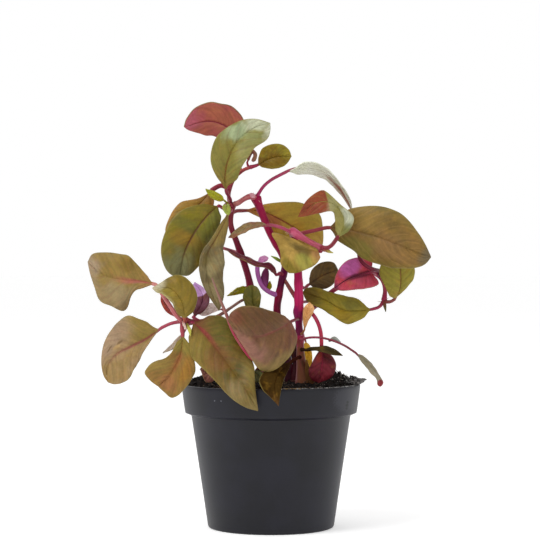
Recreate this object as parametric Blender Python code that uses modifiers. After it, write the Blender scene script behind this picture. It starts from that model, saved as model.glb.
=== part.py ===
"""A potted alternanthera reineckii: a pot, its soil, the stems and every leaf as its own solid.

The frame is in metres, +Z up, with its origin at the centre of the pot's base. The plant is seen from
the front, which is the -Y side. A leaf or stem is placed by where it is seen: a point across and down
a view 540 wide and 540 high, and its depth in millimetres behind the pot's axis.
"""
import math

import bmesh
import bpy
import numpy as np
from mathutils import Vector

MM = 0.001

# The pot, in millimetres
RIM_DIAMETER = 55.0
POT_HEIGHT = 44.0
COLLAR_HEIGHT = 8.8
COLLAR_FOOT_DIAMETER = 53.0
WALL_TOP_DIAMETER = 49.2
BASE_DIAMETER = 39.0
WALL = 1.0
FLOOR = 1.6
POT_STEPS = 44

# The soil, in millimetres
SOIL_MIDDLE = 44.2
SOIL_EDGE = 42.2
RIGHT_HEAP = 4.0
LEFT_HEAP = 2.2
HEAP_WIDTH = 8.0
SOIL_STEPS = 32

# The view, in millimetres and view units
VIEW_MIDDLE = 270.0
MM_PER_UNIT = 1 / 3.24
EYE_DISTANCE = 560.0
EYE_ACROSS = -0.3
EYE_HEIGHT = 79.1

# Leaves and joints, in millimetres
GAP = 0.3
LEAF_THICKNESS = 0.5
STALK_RADIUS = 0.5
SMALL_STALK_RADIUS = 0.3

# Each stem: what it grows from, then (across, down, depth, radius) along it
STEMS = {
    "main_stem": (None, [
        (304.6, 400, 0, 3.0), (304.6, 385, 0, 3.0), (303.3, 375, 0, 2.3), (301.6, 365, 0, 1.6),
        (300.6, 355, 0, 1.15), (300.2, 345, 0, 1.1), (299.4, 335, 0, 1.2), (298.8, 322, 0, 1.05),
        (298.6, 312, 0, 1.3), (298.8, 302, 0, 1.3), (298.5, 286, 1, 1.25), (298, 272, 2, 1.25),
        (297, 254, 2.6, 1.15), (293.5, 235, 1.8, 1.0)]),
    "centre_stem": (None, [
        (290, 400, 6, 1.8), (290, 384, 6, 1.8), (289.3, 370, 6, 1.6), (285.5, 351, 6, 1.3),
        (279, 327, 6, 1.2), (277, 308, 6, 1.15), (281, 284, 6, 1.1), (285, 266, 7, 1.1), (281.5, 253, 7, 1.15),
        (271, 235, 6, 1.15), (263, 216, 4, 1.15), (256, 198, 2, 1.25)]),
    "left_stem": (None, [
        (266, 400, 5, 1.2), (266, 384, 5, 1.2), (260, 350, 5, 1.1), (254, 315, 6, 1.05),
        (249.8, 284, 6, 1.05), (244.4, 264, 5, 1.0), (237, 243, 4, 0.95), (231, 226, 3, 0.9),
        (230.5, 213, 2, 0.9), (229.5, 205, 1.5, 1.05)]),
    "thin_stem": (None, [
        (262, 400, -9, 0.6), (262, 391, -9, 0.6), (262, 382, -9, 0.6), (261.3, 375, -12.8, 0.6),
        (259.5, 368.5, -18.8, 0.6), (256, 361.5, -24, 0.6), (249, 355.5, -25.2, 0.6), (240, 343, -24.6, 0.6),
        (232.5, 330, -24.3, 0.55), (226.5, 315, -22.8, 0.5), (219.5, 298, -19.5, 0.42),
        (214.5, 285, -17.5, 0.32), (212, 278, -16.5, 0.2)]),
    "top_side_shoot": ("centre_stem", [
        (250, 196.5, 0, 0.95), (244, 199, -0.5, 0.8), (238, 203, 0, 0.85), (234.6, 204, 0.5, 0.9)]),
    "upper_right_shoot": ("main_stem", [
        (292.5, 231.5, -1.5, 1.2), (298, 235, -4.5, 1.1), (305, 239.2, -6.2, 0.9),
        (314, 244, -6.6, 0.82), (323, 248.5, -6.6, 0.68), (329.5, 251.3, -6.6, 0.42)]),
    "upper_shoot": ("left_stem", [
        (229, 192, 6.5, 0.6), (234, 179, 7, 0.55), (242, 171, 6, 0.5), (250, 167.3, 4.5, 0.45)]),
    "right_shoot": ("main_stem", [
        (306, 312, 5, 0.75), (318, 304, 9.5, 0.75), (334, 290, 11, 0.75), (355, 279, 10.5, 0.75),
        (370, 273.5, 9.5, 0.8), (378, 274.5, 8, 0.75), (383, 281, 7, 0.7), (385, 290, 6, 0.65),
        (384, 301, 5.5, 0.75)]),
    "left_shoot": ("left_stem", [
        (243, 300, 2, 0.45), (232, 307, -4, 0.45), (218, 316, -9, 0.5), (203, 321, -13.5, 0.6),
        (190, 322, -16.5, 0.8), (183, 321, -17.5, 0.95)]),
}

# Each leaf: its stem, its stalk, its midrib from base to tip (all across, down, depth), its two edges
# (across, down), how far each edge lies behind the midrib halfway along, in mm, and its colour
LEAVES = {
    "leaf_top_red": ("upper_shoot", [(240, 166, 8), (245, 154, 9)],
        [(245, 146, 9), (232, 130, 9), (210, 121, 8), (184, 127, 6)],
        [(232, 141), (215, 137), (200, 133.5), (189, 130.5)],
        [(245, 124), (233, 108), (213, 102), (196, 108), (187, 118)], (5, -5), "red"),
    "leaf_top_green": ("left_stem", [(230.5, 200.5, 0.8), (229, 196.5, -1)],
        [(226, 192, -3), (225, 176, -5), (229, 158, -7), (238, 140, -7), (253, 128, -5), (270, 123, -2)],
        [(220, 182), (212.5, 168), (211, 155), (215, 139), (224, 129.5), (239, 121), (255, 119)],
        [(231, 184), (237, 179), (240, 171), (244, 164), (250, 155), (256, 147), (267, 139), (270, 131)],
        (-2, -2), "green"),
    "leaf_top_small": ("upper_shoot", [(254, 166.2, 4)],
        [(257, 165.3, 4), (266, 160.5, 3.5), (277, 156.8, 2.5), (291.5, 156.5, 1)],
        [(258.5, 158), (262, 149), (268.5, 145), (275, 143.8), (283, 145), (289, 149.8)],
        [(263, 167.5), (272, 168.8), (281, 167.6), (287.6, 162.8)], (-1, -1), "olive"),
    "leaf_arching": ("centre_stem", [(263, 187, 0), (271, 180, -1), (279, 175.5, -2)],
        [(286, 172, -2), (305, 168, -2), (325, 172, -1), (340, 185, 1), (348, 199, 3), (352, 211, 4)],
        [(295, 168), (303, 162.8), (311, 161.8), (318, 163.3), (326, 168), (333.5, 175.2), (340.5, 183.5),
         (346.5, 192.5), (351, 202)],
        [(298, 174.3), (311, 174), (322, 178), (330, 183.5), (337, 190), (343, 197.5), (348, 205)],
        (-4, 5), "pale"),
    "leaf_left_front": ("left_stem", [(224, 208.5, -1)],
        [(219, 205.5, -4.2), (208, 215, -7), (196, 231, -8.5), (185, 252, -9), (180, 275, -7)],
        [(212.5, 203.2), (200, 204.6), (190, 206.8), (181.5, 210.5), (173.5, 217.5), (167, 227.5), (162, 243),
         (161.5, 256), (166, 269), (173, 275.5)],
        [(221, 211), (220, 222), (215, 236), (208, 250), (200, 264), (189.5, 274.8)], (-1, 2.5), "olive"),
    "leaf_left_back": ("upper_shoot", [(222, 185.5, 6), (217, 187, 6)],
        [(212, 190, 5), (200, 203, 5), (186, 215, 4.5), (176, 226, 4), (169, 240, 3)],
        [(205, 195.5), (197, 199), (182, 202), (173.5, 210.5), (168, 221), (165.5, 231)],
        [(214, 203), (208, 220), (196, 233), (182, 241)], (1, -1), "rust"),
    "leaf_hanging": ("left_stem", [(231.2, 210.3, -1.8)],
        [(229.8, 211, -4.6), (222.5, 226, -9.6), (215, 239, -12), (206.5, 254, -13), (206, 275, -14),
         (211, 293, -14), (219, 311, -13)],
        [(229, 219), (227.5, 229), (225, 239), (223.5, 248), (224, 260), (223, 280), (224, 293), (222, 303)],
        [(224.5, 217), (219, 226), (210.5, 239.5), (202, 252), (199, 262), (199.5, 272), (203, 286),
         (210.5, 299)],
        (2, -1), "grey_olive"),
    "leaf_ochre": ("left_stem", [(236.5, 211, 5)],
        [(242, 210.7, 7.6), (254, 210.8, 9.8), (267, 213.5, 10.5), (290, 226, 11), (308, 239, 11), (320, 252, 10)],
        [(248, 208.4), (256, 206.6), (265, 204.4), (275, 202.9), (288, 202), (303, 203.6), (319, 213.5), (322.7, 228), (323, 242)],
        [(249, 213.2), (256, 215.6), (263, 220), (272, 232.5), (285, 245), (300, 254), (312, 255.5)],
        (1, 0), "ochre"),
    "leaf_centre_pale": ("upper_right_shoot", [],
        [(320.5, 252, -4.6), (308, 249, -4), (295, 251, -3.5), (287, 258, -3.5), (289, 273, -3.5)],
        [(312, 246.5), (301, 241.5), (287, 236.5), (272, 233), (277, 243), (280.6, 253), (281, 264)],
        [(320, 258), (315.5, 264.3), (307, 269), (297, 272.6)], (0, 0), "yellow_green"),
    "leaf_curled": ("upper_right_shoot", [(323, 247.6, -8.6), (328, 247.6, -9.2), (332.3, 244.6, -9.2)],
        [(336.8, 238.5, -9), (342, 229.5, -9.4), (343.5, 220.5, -10.3), (341, 212, -12), (332, 203, -13.5), (316, 203, -13), (298, 217, -10)],
        [(335.6, 234), (335.2, 226), (335.2, 219), (332, 211.5), (318, 213.5), (305, 216.6)],
        [(342.5, 237.5), (348, 232), (352, 226), (354, 219), (351, 213), (341, 205), (328, 193), (321, 190.3), (310, 197),
         (303.5, 205)], (-1, -1), "pale"),
    "leaf_edge_left": ("upper_right_shoot", [(290, 231.5, -3), (282, 227.8, -5), (274, 225.6, -6.5)],
        [(268, 224.8, -7.4), (258, 224.4, -8.3), (247, 226.6, -9), (237.5, 231.6, -9), (228.5, 237.8, -8.5)],
        [(260, 222.4), (249, 222.9), (239, 227.6), (231.5, 234.3)],
        [(260, 226.8), (251, 229.6), (242, 233.4), (233.5, 237.8)], (3, -3), "brown"),
    "leaf_edge_dark": ("centre_stem", [(280, 273, 4)],
        [(277, 275.5, 2.5), (273, 269.4, 1), (268.5, 265.6, 0), (262, 265.2, -0.6), (254, 263, -1.2),
         (247, 259.7, -1.8), (240, 256.6, -2.3), (233, 253, -3), (225, 248.5, -4)],
        [(276.6, 271), (273, 265.8), (268.5, 262.6), (261, 263), (254, 260.6), (247.5, 257), (240, 254.6), (233, 251)],
        [(274.6, 276), (269.5, 270), (263.5, 267.3), (255, 265.8), (247.5, 262.6), (240, 258.8), (233, 255.2)],
        (2, -2), "brown"),
    "leaf_yellow": ("left_stem", [],
        [(246.5, 287, 4), (240, 289.5, 4), (227, 296, 3)],
        [(243, 286), (235, 289.5)],
        [(245, 292.5), (236, 294.5)], (-2, 1), "yellow_green"),
    "leaf_small_oval": ("left_stem", [(256.5, 322, 3)],
        [(255, 316, 0), (252.5, 300, -1), (252, 285, 0)],
        [(247, 309), (243, 297), (246, 288)],
        [(259, 309), (261, 297), (258, 288)], (-1, -1), "dark_green"),
    "leaf_lilac_stalk": ("centre_stem", [(275, 294.4, 5.5), (268.5, 291.6, 5.5), (262.5, 286.5, 5.2), (259, 279, 5),
        (257.3, 270, 5.2)],
        [(258, 262.4, 5.5), (262.8, 259.4, 5.5), (268.4, 257.8, 5.5)],
        [(260, 257.6), (264.6, 256)],
        [(263, 262.4), (267.2, 260.6)], (1, -1), "lilac"),
    "leaf_young_tip": ("left_stem", [(226, 202, -0.5)],
        [(224.5, 200.8, -2.5), (215.5, 195.4, -4.5), (205.5, 189, -6)],
        [(221.5, 195), (213, 190.8)],
        [(217.5, 200.8), (209.5, 196)], (-1, 1), "lime"),
    "leaf_young_small": ("left_stem", [],
        [(227.6, 204.6, -4.6), (226.6, 209, -8.2), (228.6, 215.4, -10.8)],
        [(223.2, 205.4), (222.6, 209), (225.4, 213.4)],
        [(230.2, 207.6), (230.4, 212)], (-0.6, 0.4), "lime"),
    "leaf_young_curl": ("upper_shoot", [(247, 163, 4.5)],
        [(247.8, 162, 3.5), (249.6, 155, 2.4), (252.8, 151.2, 1.6), (255.2, 155.5, 1), (253, 162, 0.6)],
        [(246.8, 159.5), (248.6, 152.8), (252.8, 149.4), (256.8, 154), (255.8, 160.5)],
        [(249.2, 160), (250.8, 155.5), (252.7, 153.2), (253.7, 156), (251.8, 160.5)], (-1, 1), "brown"),
    "leaf_upper_left": ("left_shoot", [(178.5, 318, -20.3), (174, 312, -20), (168.5, 303.5, -18.5),
        (163.5, 296, -17), (159, 289, -16)],
        [(155.5, 284.5, -14.5), (147, 282.5, -13), (136, 281, -12), (121, 279, -11), (102, 275, -9), (88, 262, -7)],
        [(151, 279.5), (141, 269), (130, 256.5), (121, 254), (104.5, 252.5), (93, 254)],
        [(148, 287.5), (136, 290), (130.5, 297), (127, 307), (122, 311), (112, 306), (101, 301), (95, 288),
         (90.5, 274)], (-1, 1), "olive_pink"),
    "leaf_lower_left": ("left_shoot", [(171, 323.5, -17.5)],
        [(161, 328, -17), (146, 341, -16), (131, 348, -15.5), (116, 354, -15), (107, 366, -14), (108, 382, -13)],
        [(149, 323), (137, 318), (128, 315.5), (116, 324), (108, 335), (103, 347), (101.4, 362), (103.5, 375)],
        [(153.5, 337), (145, 350), (137, 364.5), (130, 377), (124, 382), (115, 384)], (-1, -1), "olive_pink"),
    "leaf_bottom_left": ("left_shoot", [(182, 329, -20)],
        [(182.8, 334, -20.5), (181, 350, -21), (175, 367, -21), (167, 378, -20.5), (158, 386, -20)],
        [(177, 342), (171, 353), (163, 359), (151.4, 363.3), (144.8, 372), (150, 380)],
        [(188, 341), (192.5, 354), (195.5, 368), (191, 380), (183, 391), (172.5, 397.7), (165, 392.5)],
        (-1, -1), "orange"),
    "leaf_front": ("left_shoot", [(189.5, 323, -18.8)],
        [(191.5, 321, -20), (202, 330, -20.5), (214, 344, -21.5), (233, 371, -25), (247, 391, -29),
         (258, 411, -30.3)],
        [(209, 315.8), (226, 318.6), (240, 340), (253, 363), (254.5, 377), (255.5, 393)],
        [(188.5, 332), (191, 355), (198, 364), (205, 370.5), (217, 383), (225, 392), (235, 401), (246, 407.5)],
        (2, -1), "olive"),
    "leaf_cup": ("left_shoot", [(184.6, 321, -20)],
        [(184.4, 319.6, -22.2), (181, 303, -24), (170, 290, -23), (152.5, 288, -20)],
        [(178.6, 314.5), (172, 303), (164, 294.7), (156.5, 292)],
        [(190.5, 315.3), (195.4, 306.5), (197, 298), (195.5, 290.5), (191, 283), (185, 277), (177, 275), (169, 278), (161, 283)],
        (3, 2), "olive"),
    "leaf_crescent": ("left_shoot", [],
        [(176, 317.5, -14.5), (169.5, 311.5, -14.5), (163.5, 303, -14.5), (161, 294.5, -14.5)],
        [(166.5, 312), (161, 302.5)],
        [(172.5, 312), (167, 302.5)], (0.5, 1.5), "red"),
    "leaf_purple": ("left_shoot", [],
        [(193, 317, -12.5), (201, 306, -11), (203, 295, -10), (195, 282, -9)],
        [(193, 307), (194, 297), (192, 288)],
        [(203, 312), (209.5, 302), (206, 290)], (1, -1), "purple"),
    "leaf_narrow": ("left_shoot", [(187, 327, -14.5)],
        [(183, 334, -14), (175, 344, -14), (162.8, 353, -14)],
        [(179, 336.6), (169.5, 346.6)],
        [(182, 340.5), (172.6, 349.4)], (1, -1), "grey_olive"),
    "leaf_pale_pink": ("left_shoot", [],
        [(222, 309, -6.4), (210, 308.5, -7.6), (197.5, 314, -9)],
        [(215, 303.8), (204, 305)],
        [(214, 312.5), (204.5, 316)], (1, -1), "pink"),
    "leaf_mauve": ("main_stem", [(296, 319.5, -4)],
        [(292, 321, -9), (282, 325, -15), (270, 330, -20), (252, 337, -25), (238, 333, -26), (228, 320, -25)],
        [(289, 317.5), (283, 315.5), (265, 309), (244, 306), (232, 312)],
        [(297, 330), (296, 345), (289, 357), (276, 369), (266, 371.5), (256, 365), (245, 349), (234, 331)],
        (1.5, -1.5), "mauve"),
    "leaf_under_mauve": ("main_stem", [(297, 358, -5)],
        [(291, 362, -10), (279, 374, -22), (275, 389, -30), (278.5, 406, -31)],
        [(276, 365), (264, 372), (259, 382), (263, 390), (271, 398)],
        [(289.5, 367), (287, 372), (283, 381), (280.5, 392)], (-2, 0), "brown"),
    "leaf_low_green": ("thin_stem", [(258.5, 368, -20.5)],
        [(255, 370.5, -22), (259, 375, -23), (264, 379.5, -23.5)],
        [(253.5, 375), (256.5, 382.5)],
        [(258.5, 370), (264, 374)], (0.5, -0.5), "dark_green"),
    "leaf_on_soil": ("left_shoot", [(196, 338, -8), (208, 358, -6)],
        [(216, 372, -7), (208, 374, -8), (200, 369, -9)],
        [(212, 367), (205, 365)],
        [(214, 381), (206, 382)], (2, -2), "red"),
    "leaf_right_big": ("upper_right_shoot", [(304, 232.8, -3.5), (314, 230.6, -3), (322, 228.6, -3)],
        [(327, 227.5, -3.2), (348, 230, -6), (375, 237, -10), (400, 246, -13), (418, 253, -14), (431, 257, -14)],
        [(332, 221.5), (342, 213.5), (353.6, 208), (376, 206), (394, 210), (407, 219), (419, 234), (425, 244)],
        [(331, 233), (337.5, 240), (345, 245), (354, 251), (362.5, 258), (376, 263), (389, 267.5), (403, 268),
         (416, 267.5), (425, 264)], (-1, 3), "tan"),
    "leaf_right_green": ("right_shoot", [(388, 302, 4.5), (392, 301, 4)],
        [(395.5, 298.5, 3.5), (400.5, 288, 1.5), (401, 272, 0), (398, 256, -1)],
        [(391.5, 299), (386, 288), (379.5, 273), (384, 260)],
        [(400, 294), (407, 287), (413.5, 278), (413, 265)], (-0.5, 0.5), "green"),
    "leaf_pink_under": ("right_shoot", [(375.3, 272.6, 5.9)],
        [(373, 272, 4), (360, 275.5, 1.5), (347, 280, 0), (334, 288.5, 0)],
        [(371, 260), (357, 257.5), (344, 263), (336, 275)],
        [(378.5, 284), (366, 288), (351, 290), (341, 290.5)], (1, -1), "coral"),
    "leaf_wavy": ("right_shoot", [(379, 307, 5)],
        [(373, 309, 4.5), (358, 311, 4.5), (343, 310, 5), (325, 300, 5.5), (311, 295, 6), (303, 292, 6.5)],
        [(364.5, 304.5), (357.5, 299), (346, 296), (332, 293), (318, 288), (307, 288)],
        [(366, 316), (360, 320), (350.5, 323.5), (343.5, 323), (332, 316), (324, 310), (310, 303.5), (305, 298)],
        (1, -1), "olive"),
    "leaf_back_oval": ("main_stem", [(304, 288, 7)],
        [(308, 285, 10), (322, 276, 13), (338, 270, 14)],
        [(312, 270), (322, 262.5), (333, 262.5)],
        [(317, 289), (328, 288), (336, 280)], (1, -1), "brown"),
    "leaf_low_red": ("main_stem", [(306, 311.5, -0.8), (312, 313.5, -1.6), (318, 323, -3.5), (321, 334, -4.5)],
        [(321.6, 347, -5), (322, 359, -5.5), (321, 371, -6), (318.5, 383, -6)],
        [(319.8, 350), (317, 354), (312.3, 362), (308.8, 371), (311.5, 379.5)],
        [(323.6, 350), (327.5, 352.6), (333, 357.6), (336, 366), (331.5, 377)], (-0.5, 0.5), "deep_red"),
    "leaf_mustard": ("main_stem", [(304, 337, 3.5)],
        [(305.5, 341, 4.5), (307.5, 354, 5), (308, 369, 6)],
        [(303.6, 346), (303.6, 359)],
        [(310, 346), (312, 355), (311.6, 363)], (1, 0), "mustard"),
    "leaf_low_dark": ("main_stem", [],
        [(304, 349.7, -3.2), (312.5, 348.6, -5.6), (320, 349, -7.3), (328.5, 350.2, -7.6), (342.7, 355.6, -7.8)],
        [(310, 347.5), (319, 347), (325, 345.9), (331.5, 348), (337, 350.7)],
        [(312, 349.7), (320, 351.4), (328.5, 353.8), (334.8, 355.2)], (0.6, -1.6), "brown"),
    "leaf_low_long": ("main_stem", [(303, 339.2, -4), (309, 337.6, -6.5), (320, 337.6, -8.5),
        (331, 340, -9.5), (343.5, 345, -11), (353, 351, -12)],
        [(357, 353.8, -12.5), (364.3, 360.3, -13), (371, 367.6, -13.7), (376.2, 374.6, -14), (379.5, 380, -14),
         (380, 386.6, -14)],
        [(361, 354.6), (367.6, 360.2), (374.3, 367), (378.4, 374.8), (382.7, 381.5), (382, 385)],
        [(359, 358), (364.5, 365.2), (370.5, 372.4), (375.5, 377.2), (377.2, 381), (377.6, 385)], (2, -2), "grey_olive"),
    "leaf_dried": ("main_stem", [(302, 333.5, -2)],
        [(304.6, 330, -3.2), (306, 317, -3.6), (309.5, 302, -3.6)],
        [(303.4, 322), (303.8, 309)],
        [(307.5, 322), (314, 309)], (0.5, 1), "tan_dry"),
    "leaf_back_upper_left": ("left_stem", [(236, 252, 9.5), (226, 249, 14)],
        [(219, 247, 18), (207, 243, 24), (195, 243, 29), (183, 248, 32)],
        [(210, 229), (199, 223), (188, 230)],
        [(212, 257), (202, 265), (190, 263)], (2, 2), "olive"),
    "leaf_back_right": ("right_shoot", [(380, 271.2, 5.4), (374.5, 269.6, 1.6), (367, 266.4, -0.7),
        (361.5, 261.5, -1), (359.3, 256.5, 0.3), (359.3, 251, 4), (363, 247.5, 10), (369, 251, 14.5)],
        [(376, 256, 17), (382, 243, 22), (390, 230, 27), (397, 220, 28)],
        [(367, 247), (369, 231), (380, 220)],
        [(388, 254), (402, 245), (407, 232)], (2, 3), "tan"),
    "leaf_back_low": ("centre_stem", [(291.5, 378.5, 10)],
        [(293.4, 377, 11.5), (294.4, 366, 12.5), (293.8, 352, 14), (291, 338, 15.5)],
        [(290, 372), (288.8, 358), (288.4, 345)],
        [(298.4, 372), (299.8, 358), (297, 345)], (1, 1), "brown"),
    "leaf_back_middle": ("centre_stem", [(277, 242, 11)],
        [(281, 240, 14), (288, 233, 20), (297, 225, 26), (305, 220, 30)],
        [(280, 228), (287, 217), (297, 212)],
        [(294, 244), (306, 240), (311, 230)], (1, 2), "ochre"),
    "leaf_back_wavy": ("main_stem", [(301, 302, 7), (311, 301, 13)],
        [(317, 302, 16), (326, 300, 21), (336, 303, 27), (346, 308, 31)],
        [(320, 298.5), (329, 298), (340, 301)],
        [(321, 307.5), (331, 311), (341, 312)], (-6, 6), "green"),
    "leaf_back_centre": ("main_stem", [(297, 262, 8)],
        [(297, 257, 13), (300, 250, 19), (303, 242, 26), (303, 233, 30)],
        [(290, 250), (290, 240), (296, 233)],
        [(304, 260), (314, 250), (313, 238)], (2, 2), "olive"),
}

# Red, green, blue and roughness of each finish
FINISHES = {
    "pot": (0.030, 0.030, 0.042, 0.45),
    "soil": (0.020, 0.014, 0.010, 0.95),
    "stem": (0.32, 0.025, 0.09, 0.45),
    "red": (0.42, 0.10, 0.07, 0.5),
    "deep_red": (0.20, 0.02, 0.04, 0.5),
    "coral": (0.50, 0.08, 0.14, 0.5),
    "pink": (0.55, 0.35, 0.33, 0.5),
    "purple": (0.14, 0.05, 0.10, 0.5),
    "lilac": (0.45, 0.22, 0.36, 0.5),
    "mauve": (0.22, 0.12, 0.09, 0.5),
    "brown": (0.13, 0.06, 0.03, 0.5),
    "rust": (0.26, 0.15, 0.03, 0.5),
    "tan": (0.26, 0.17, 0.06, 0.5),
    "tan_dry": (0.60, 0.28, 0.12, 0.8),
    "orange": (0.38, 0.20, 0.06, 0.5),
    "ochre": (0.30, 0.20, 0.03, 0.5),
    "mustard": (0.50, 0.25, 0.01, 0.5),
    "olive": (0.20, 0.16, 0.03, 0.5),
    "olive_pink": (0.30, 0.19, 0.09, 0.5),
    "grey_olive": (0.22, 0.17, 0.09, 0.5),
    "green": (0.22, 0.22, 0.04, 0.5),
    "yellow_green": (0.36, 0.32, 0.07, 0.5),
    "lime": (0.45, 0.50, 0.02, 0.5),
    "dark_green": (0.10, 0.10, 0.02, 0.5),
    "pale": (0.45, 0.44, 0.32, 0.5),
}

BLADE_STEPS = 9
SMALL_BLADE_STEPS = 6
SMALL_BLADE = 11.0
STALK_SPACING = 4.0
STEM_SPACING = 4.0
CORNER = math.sqrt(0.5)


def clear_scene():
    for thing in list(bpy.data.objects):
        bpy.data.objects.remove(thing, do_unlink=True)


def collection(name):
    group = bpy.data.collections.new(name)
    bpy.context.scene.collection.children.link(group)
    return group


def finish(name):
    red, green, blue, roughness = FINISHES[name]
    material = bpy.data.materials.new(name)
    material.use_nodes = True
    shader = material.node_tree.nodes["Principled BSDF"]
    shader.inputs["Base Color"].default_value = (red, green, blue, 1)
    shader.inputs["Roughness"].default_value = roughness
    material.diffuse_color = (red, green, blue, 1)
    return material


def add(name, data, group, material=None):
    piece = bpy.data.objects.new(name, data)
    group.objects.link(piece)
    if material:
        data.materials.append(material)
    return piece


def seen(across, down, depth):
    """The place, in metres, of what is seen at a point of the view, depth mm behind the pot's axis."""
    spread = MM_PER_UNIT * (1 + depth / EYE_DISTANCE)
    x = EYE_ACROSS + (across - VIEW_MIDDLE) * spread
    z = EYE_HEIGHT + (VIEW_MIDDLE - down) * spread
    return np.array((x, depth, z)) * MM


def smooth_curve(points, fractions):
    """Rows at the given fractions of the length of a smooth curve through the given rows."""
    points = np.asarray(points, float)
    before = 2 * points[0] - points[1]
    after = 2 * points[-1] - points[-2]
    row = np.vstack((before, points, after))
    fine = []
    for i in range(len(points) - 1):
        p0, p1, p2, p3 = row[i:i + 4]
        for t in np.linspace(0, 1, 12, endpoint=False):
            bend = 2 * p0 - 5 * p1 + 4 * p2 - p3
            turn = 3 * p1 - p0 - 3 * p2 + p3
            fine.append(p1 + 0.5 * ((p2 - p0) * t + bend * t ** 2 + turn * t ** 3))
    fine = np.array(fine + [points[-1]])
    steps = np.linalg.norm(np.diff(fine[:, :3], axis=0), axis=1)
    run = np.concatenate(([0], np.cumsum(steps)))
    return np.column_stack([np.interp(np.asarray(fractions) * run[-1], run, part) for part in fine.T])


def nearest_on(axis, point):
    """The nearest row of a stem's axis: its place and its radius."""
    return axis[np.argmin(np.linalg.norm(axis[:, :3] - point, axis=1))]


def clear_of(axis, route):
    """The route from where its round end first stands a gap off the stem that it leaves."""
    for i in range(len(route) - 1):
        stem = nearest_on(axis, route[i, :3])
        out = route[i, :3] - stem[:3]
        distance = np.linalg.norm(out)
        if distance == 0:
            continue
        direction = route[i + 1, :3] - route[i, :3]
        lean = abs(direction @ out) / (np.linalg.norm(direction) * distance)
        reach = route[i, 3] * math.sqrt(max(0, 1 - lean ** 2))
        if distance >= stem[3] + reach + GAP * MM:
            return route[i:]
    return route[-2:]


def stem_axes():
    """Each stem's axis as many rows of place and radius, in metres, cut clear of what it grows from."""
    axes = {}
    for name, (parent, points) in STEMS.items():
        rows = [(*seen(across, down, depth), radius * MM) for across, down, depth, radius in points]
        if parent:
            join = nearest_on(axes[parent], rows[0][:3])
            rows = [(*join[:3], rows[0][3])] + rows
        axis = smooth_curve(rows, np.linspace(0, 1, 401))
        axes[name] = clear_of(axes[parent], axis) if parent else axis
    return axes


def length_of(rows):
    return np.linalg.norm(np.diff(rows[:, :3], axis=0), axis=1).sum()


def make_stem(name, axis, group, material):
    steps = max(4, round(length_of(axis) / (STEM_SPACING * MM)))
    rows = smooth_curve(axis, np.linspace(0, 1, steps + 1))
    curve = bpy.data.curves.new(name, "CURVE")
    curve.dimensions = "3D"
    curve.bevel_depth = MM
    curve.bevel_resolution = 2
    curve.use_fill_caps = True
    spline = curve.splines.new("POLY")
    spline.points.add(len(rows) - 1)
    for point, row in zip(spline.points, rows):
        point.co = (*row[:3], 1)
        point.radius = row[3] / MM
    return add(name, curve, group, material)


def blade_rows(midrib, edge_one, edge_two, lifts):
    """Midrib and edges of a blade as places, at steps that are closer together at its two ends."""
    length = length_of(np.array([seen(*row) for row in midrib]))
    steps = BLADE_STEPS if length > SMALL_BLADE * MM else SMALL_BLADE_STEPS
    fractions = 0.5 - 0.5 * np.cos(np.linspace(0, math.pi, steps + 1))
    middle = smooth_curve(midrib, fractions)
    edges = []
    for edge, lift in zip((edge_one, edge_two), lifts):
        outline = smooth_curve([midrib[0][:2], *edge, midrib[-1][:2]], fractions)
        depths = middle[:, 2] + lift * np.sin(math.pi * fractions)
        edges.append(np.array([seen(*at, depth) for at, depth in zip(outline, depths)]))
    return fractions, np.array([seen(*row) for row in middle]), edges[0], edges[1]


def unit(vector):
    return vector / max(np.linalg.norm(vector), 1e-9)


def leaf_ring(centre, one, two, tangent, roundness, radius):
    """Eight points round a leaf: a circle on the stalk, a thin lens on the blade, a blend between."""
    side = unit(two - one)
    side = unit(side - tangent * (side @ tangent))
    up = np.cross(side, tangent)
    thick = 0.5 * LEAF_THICKNESS * MM * up
    to_one = one - centre
    to_two = two - centre
    flat = [to_two, to_two / 2 + thick, thick, to_one / 2 + thick,
            to_one, to_one / 2 - thick, -thick, to_two / 2 - thick]
    turns = [(1, 0), (CORNER, CORNER), (0, 1), (-CORNER, CORNER),
             (-1, 0), (-CORNER, -CORNER), (0, -1), (CORNER, -CORNER)]
    circle = [(side * across + up * above) * radius for across, above in turns]
    return [centre + roundness * a + (1 - roundness) * b for a, b in zip(circle, flat)]


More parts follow.
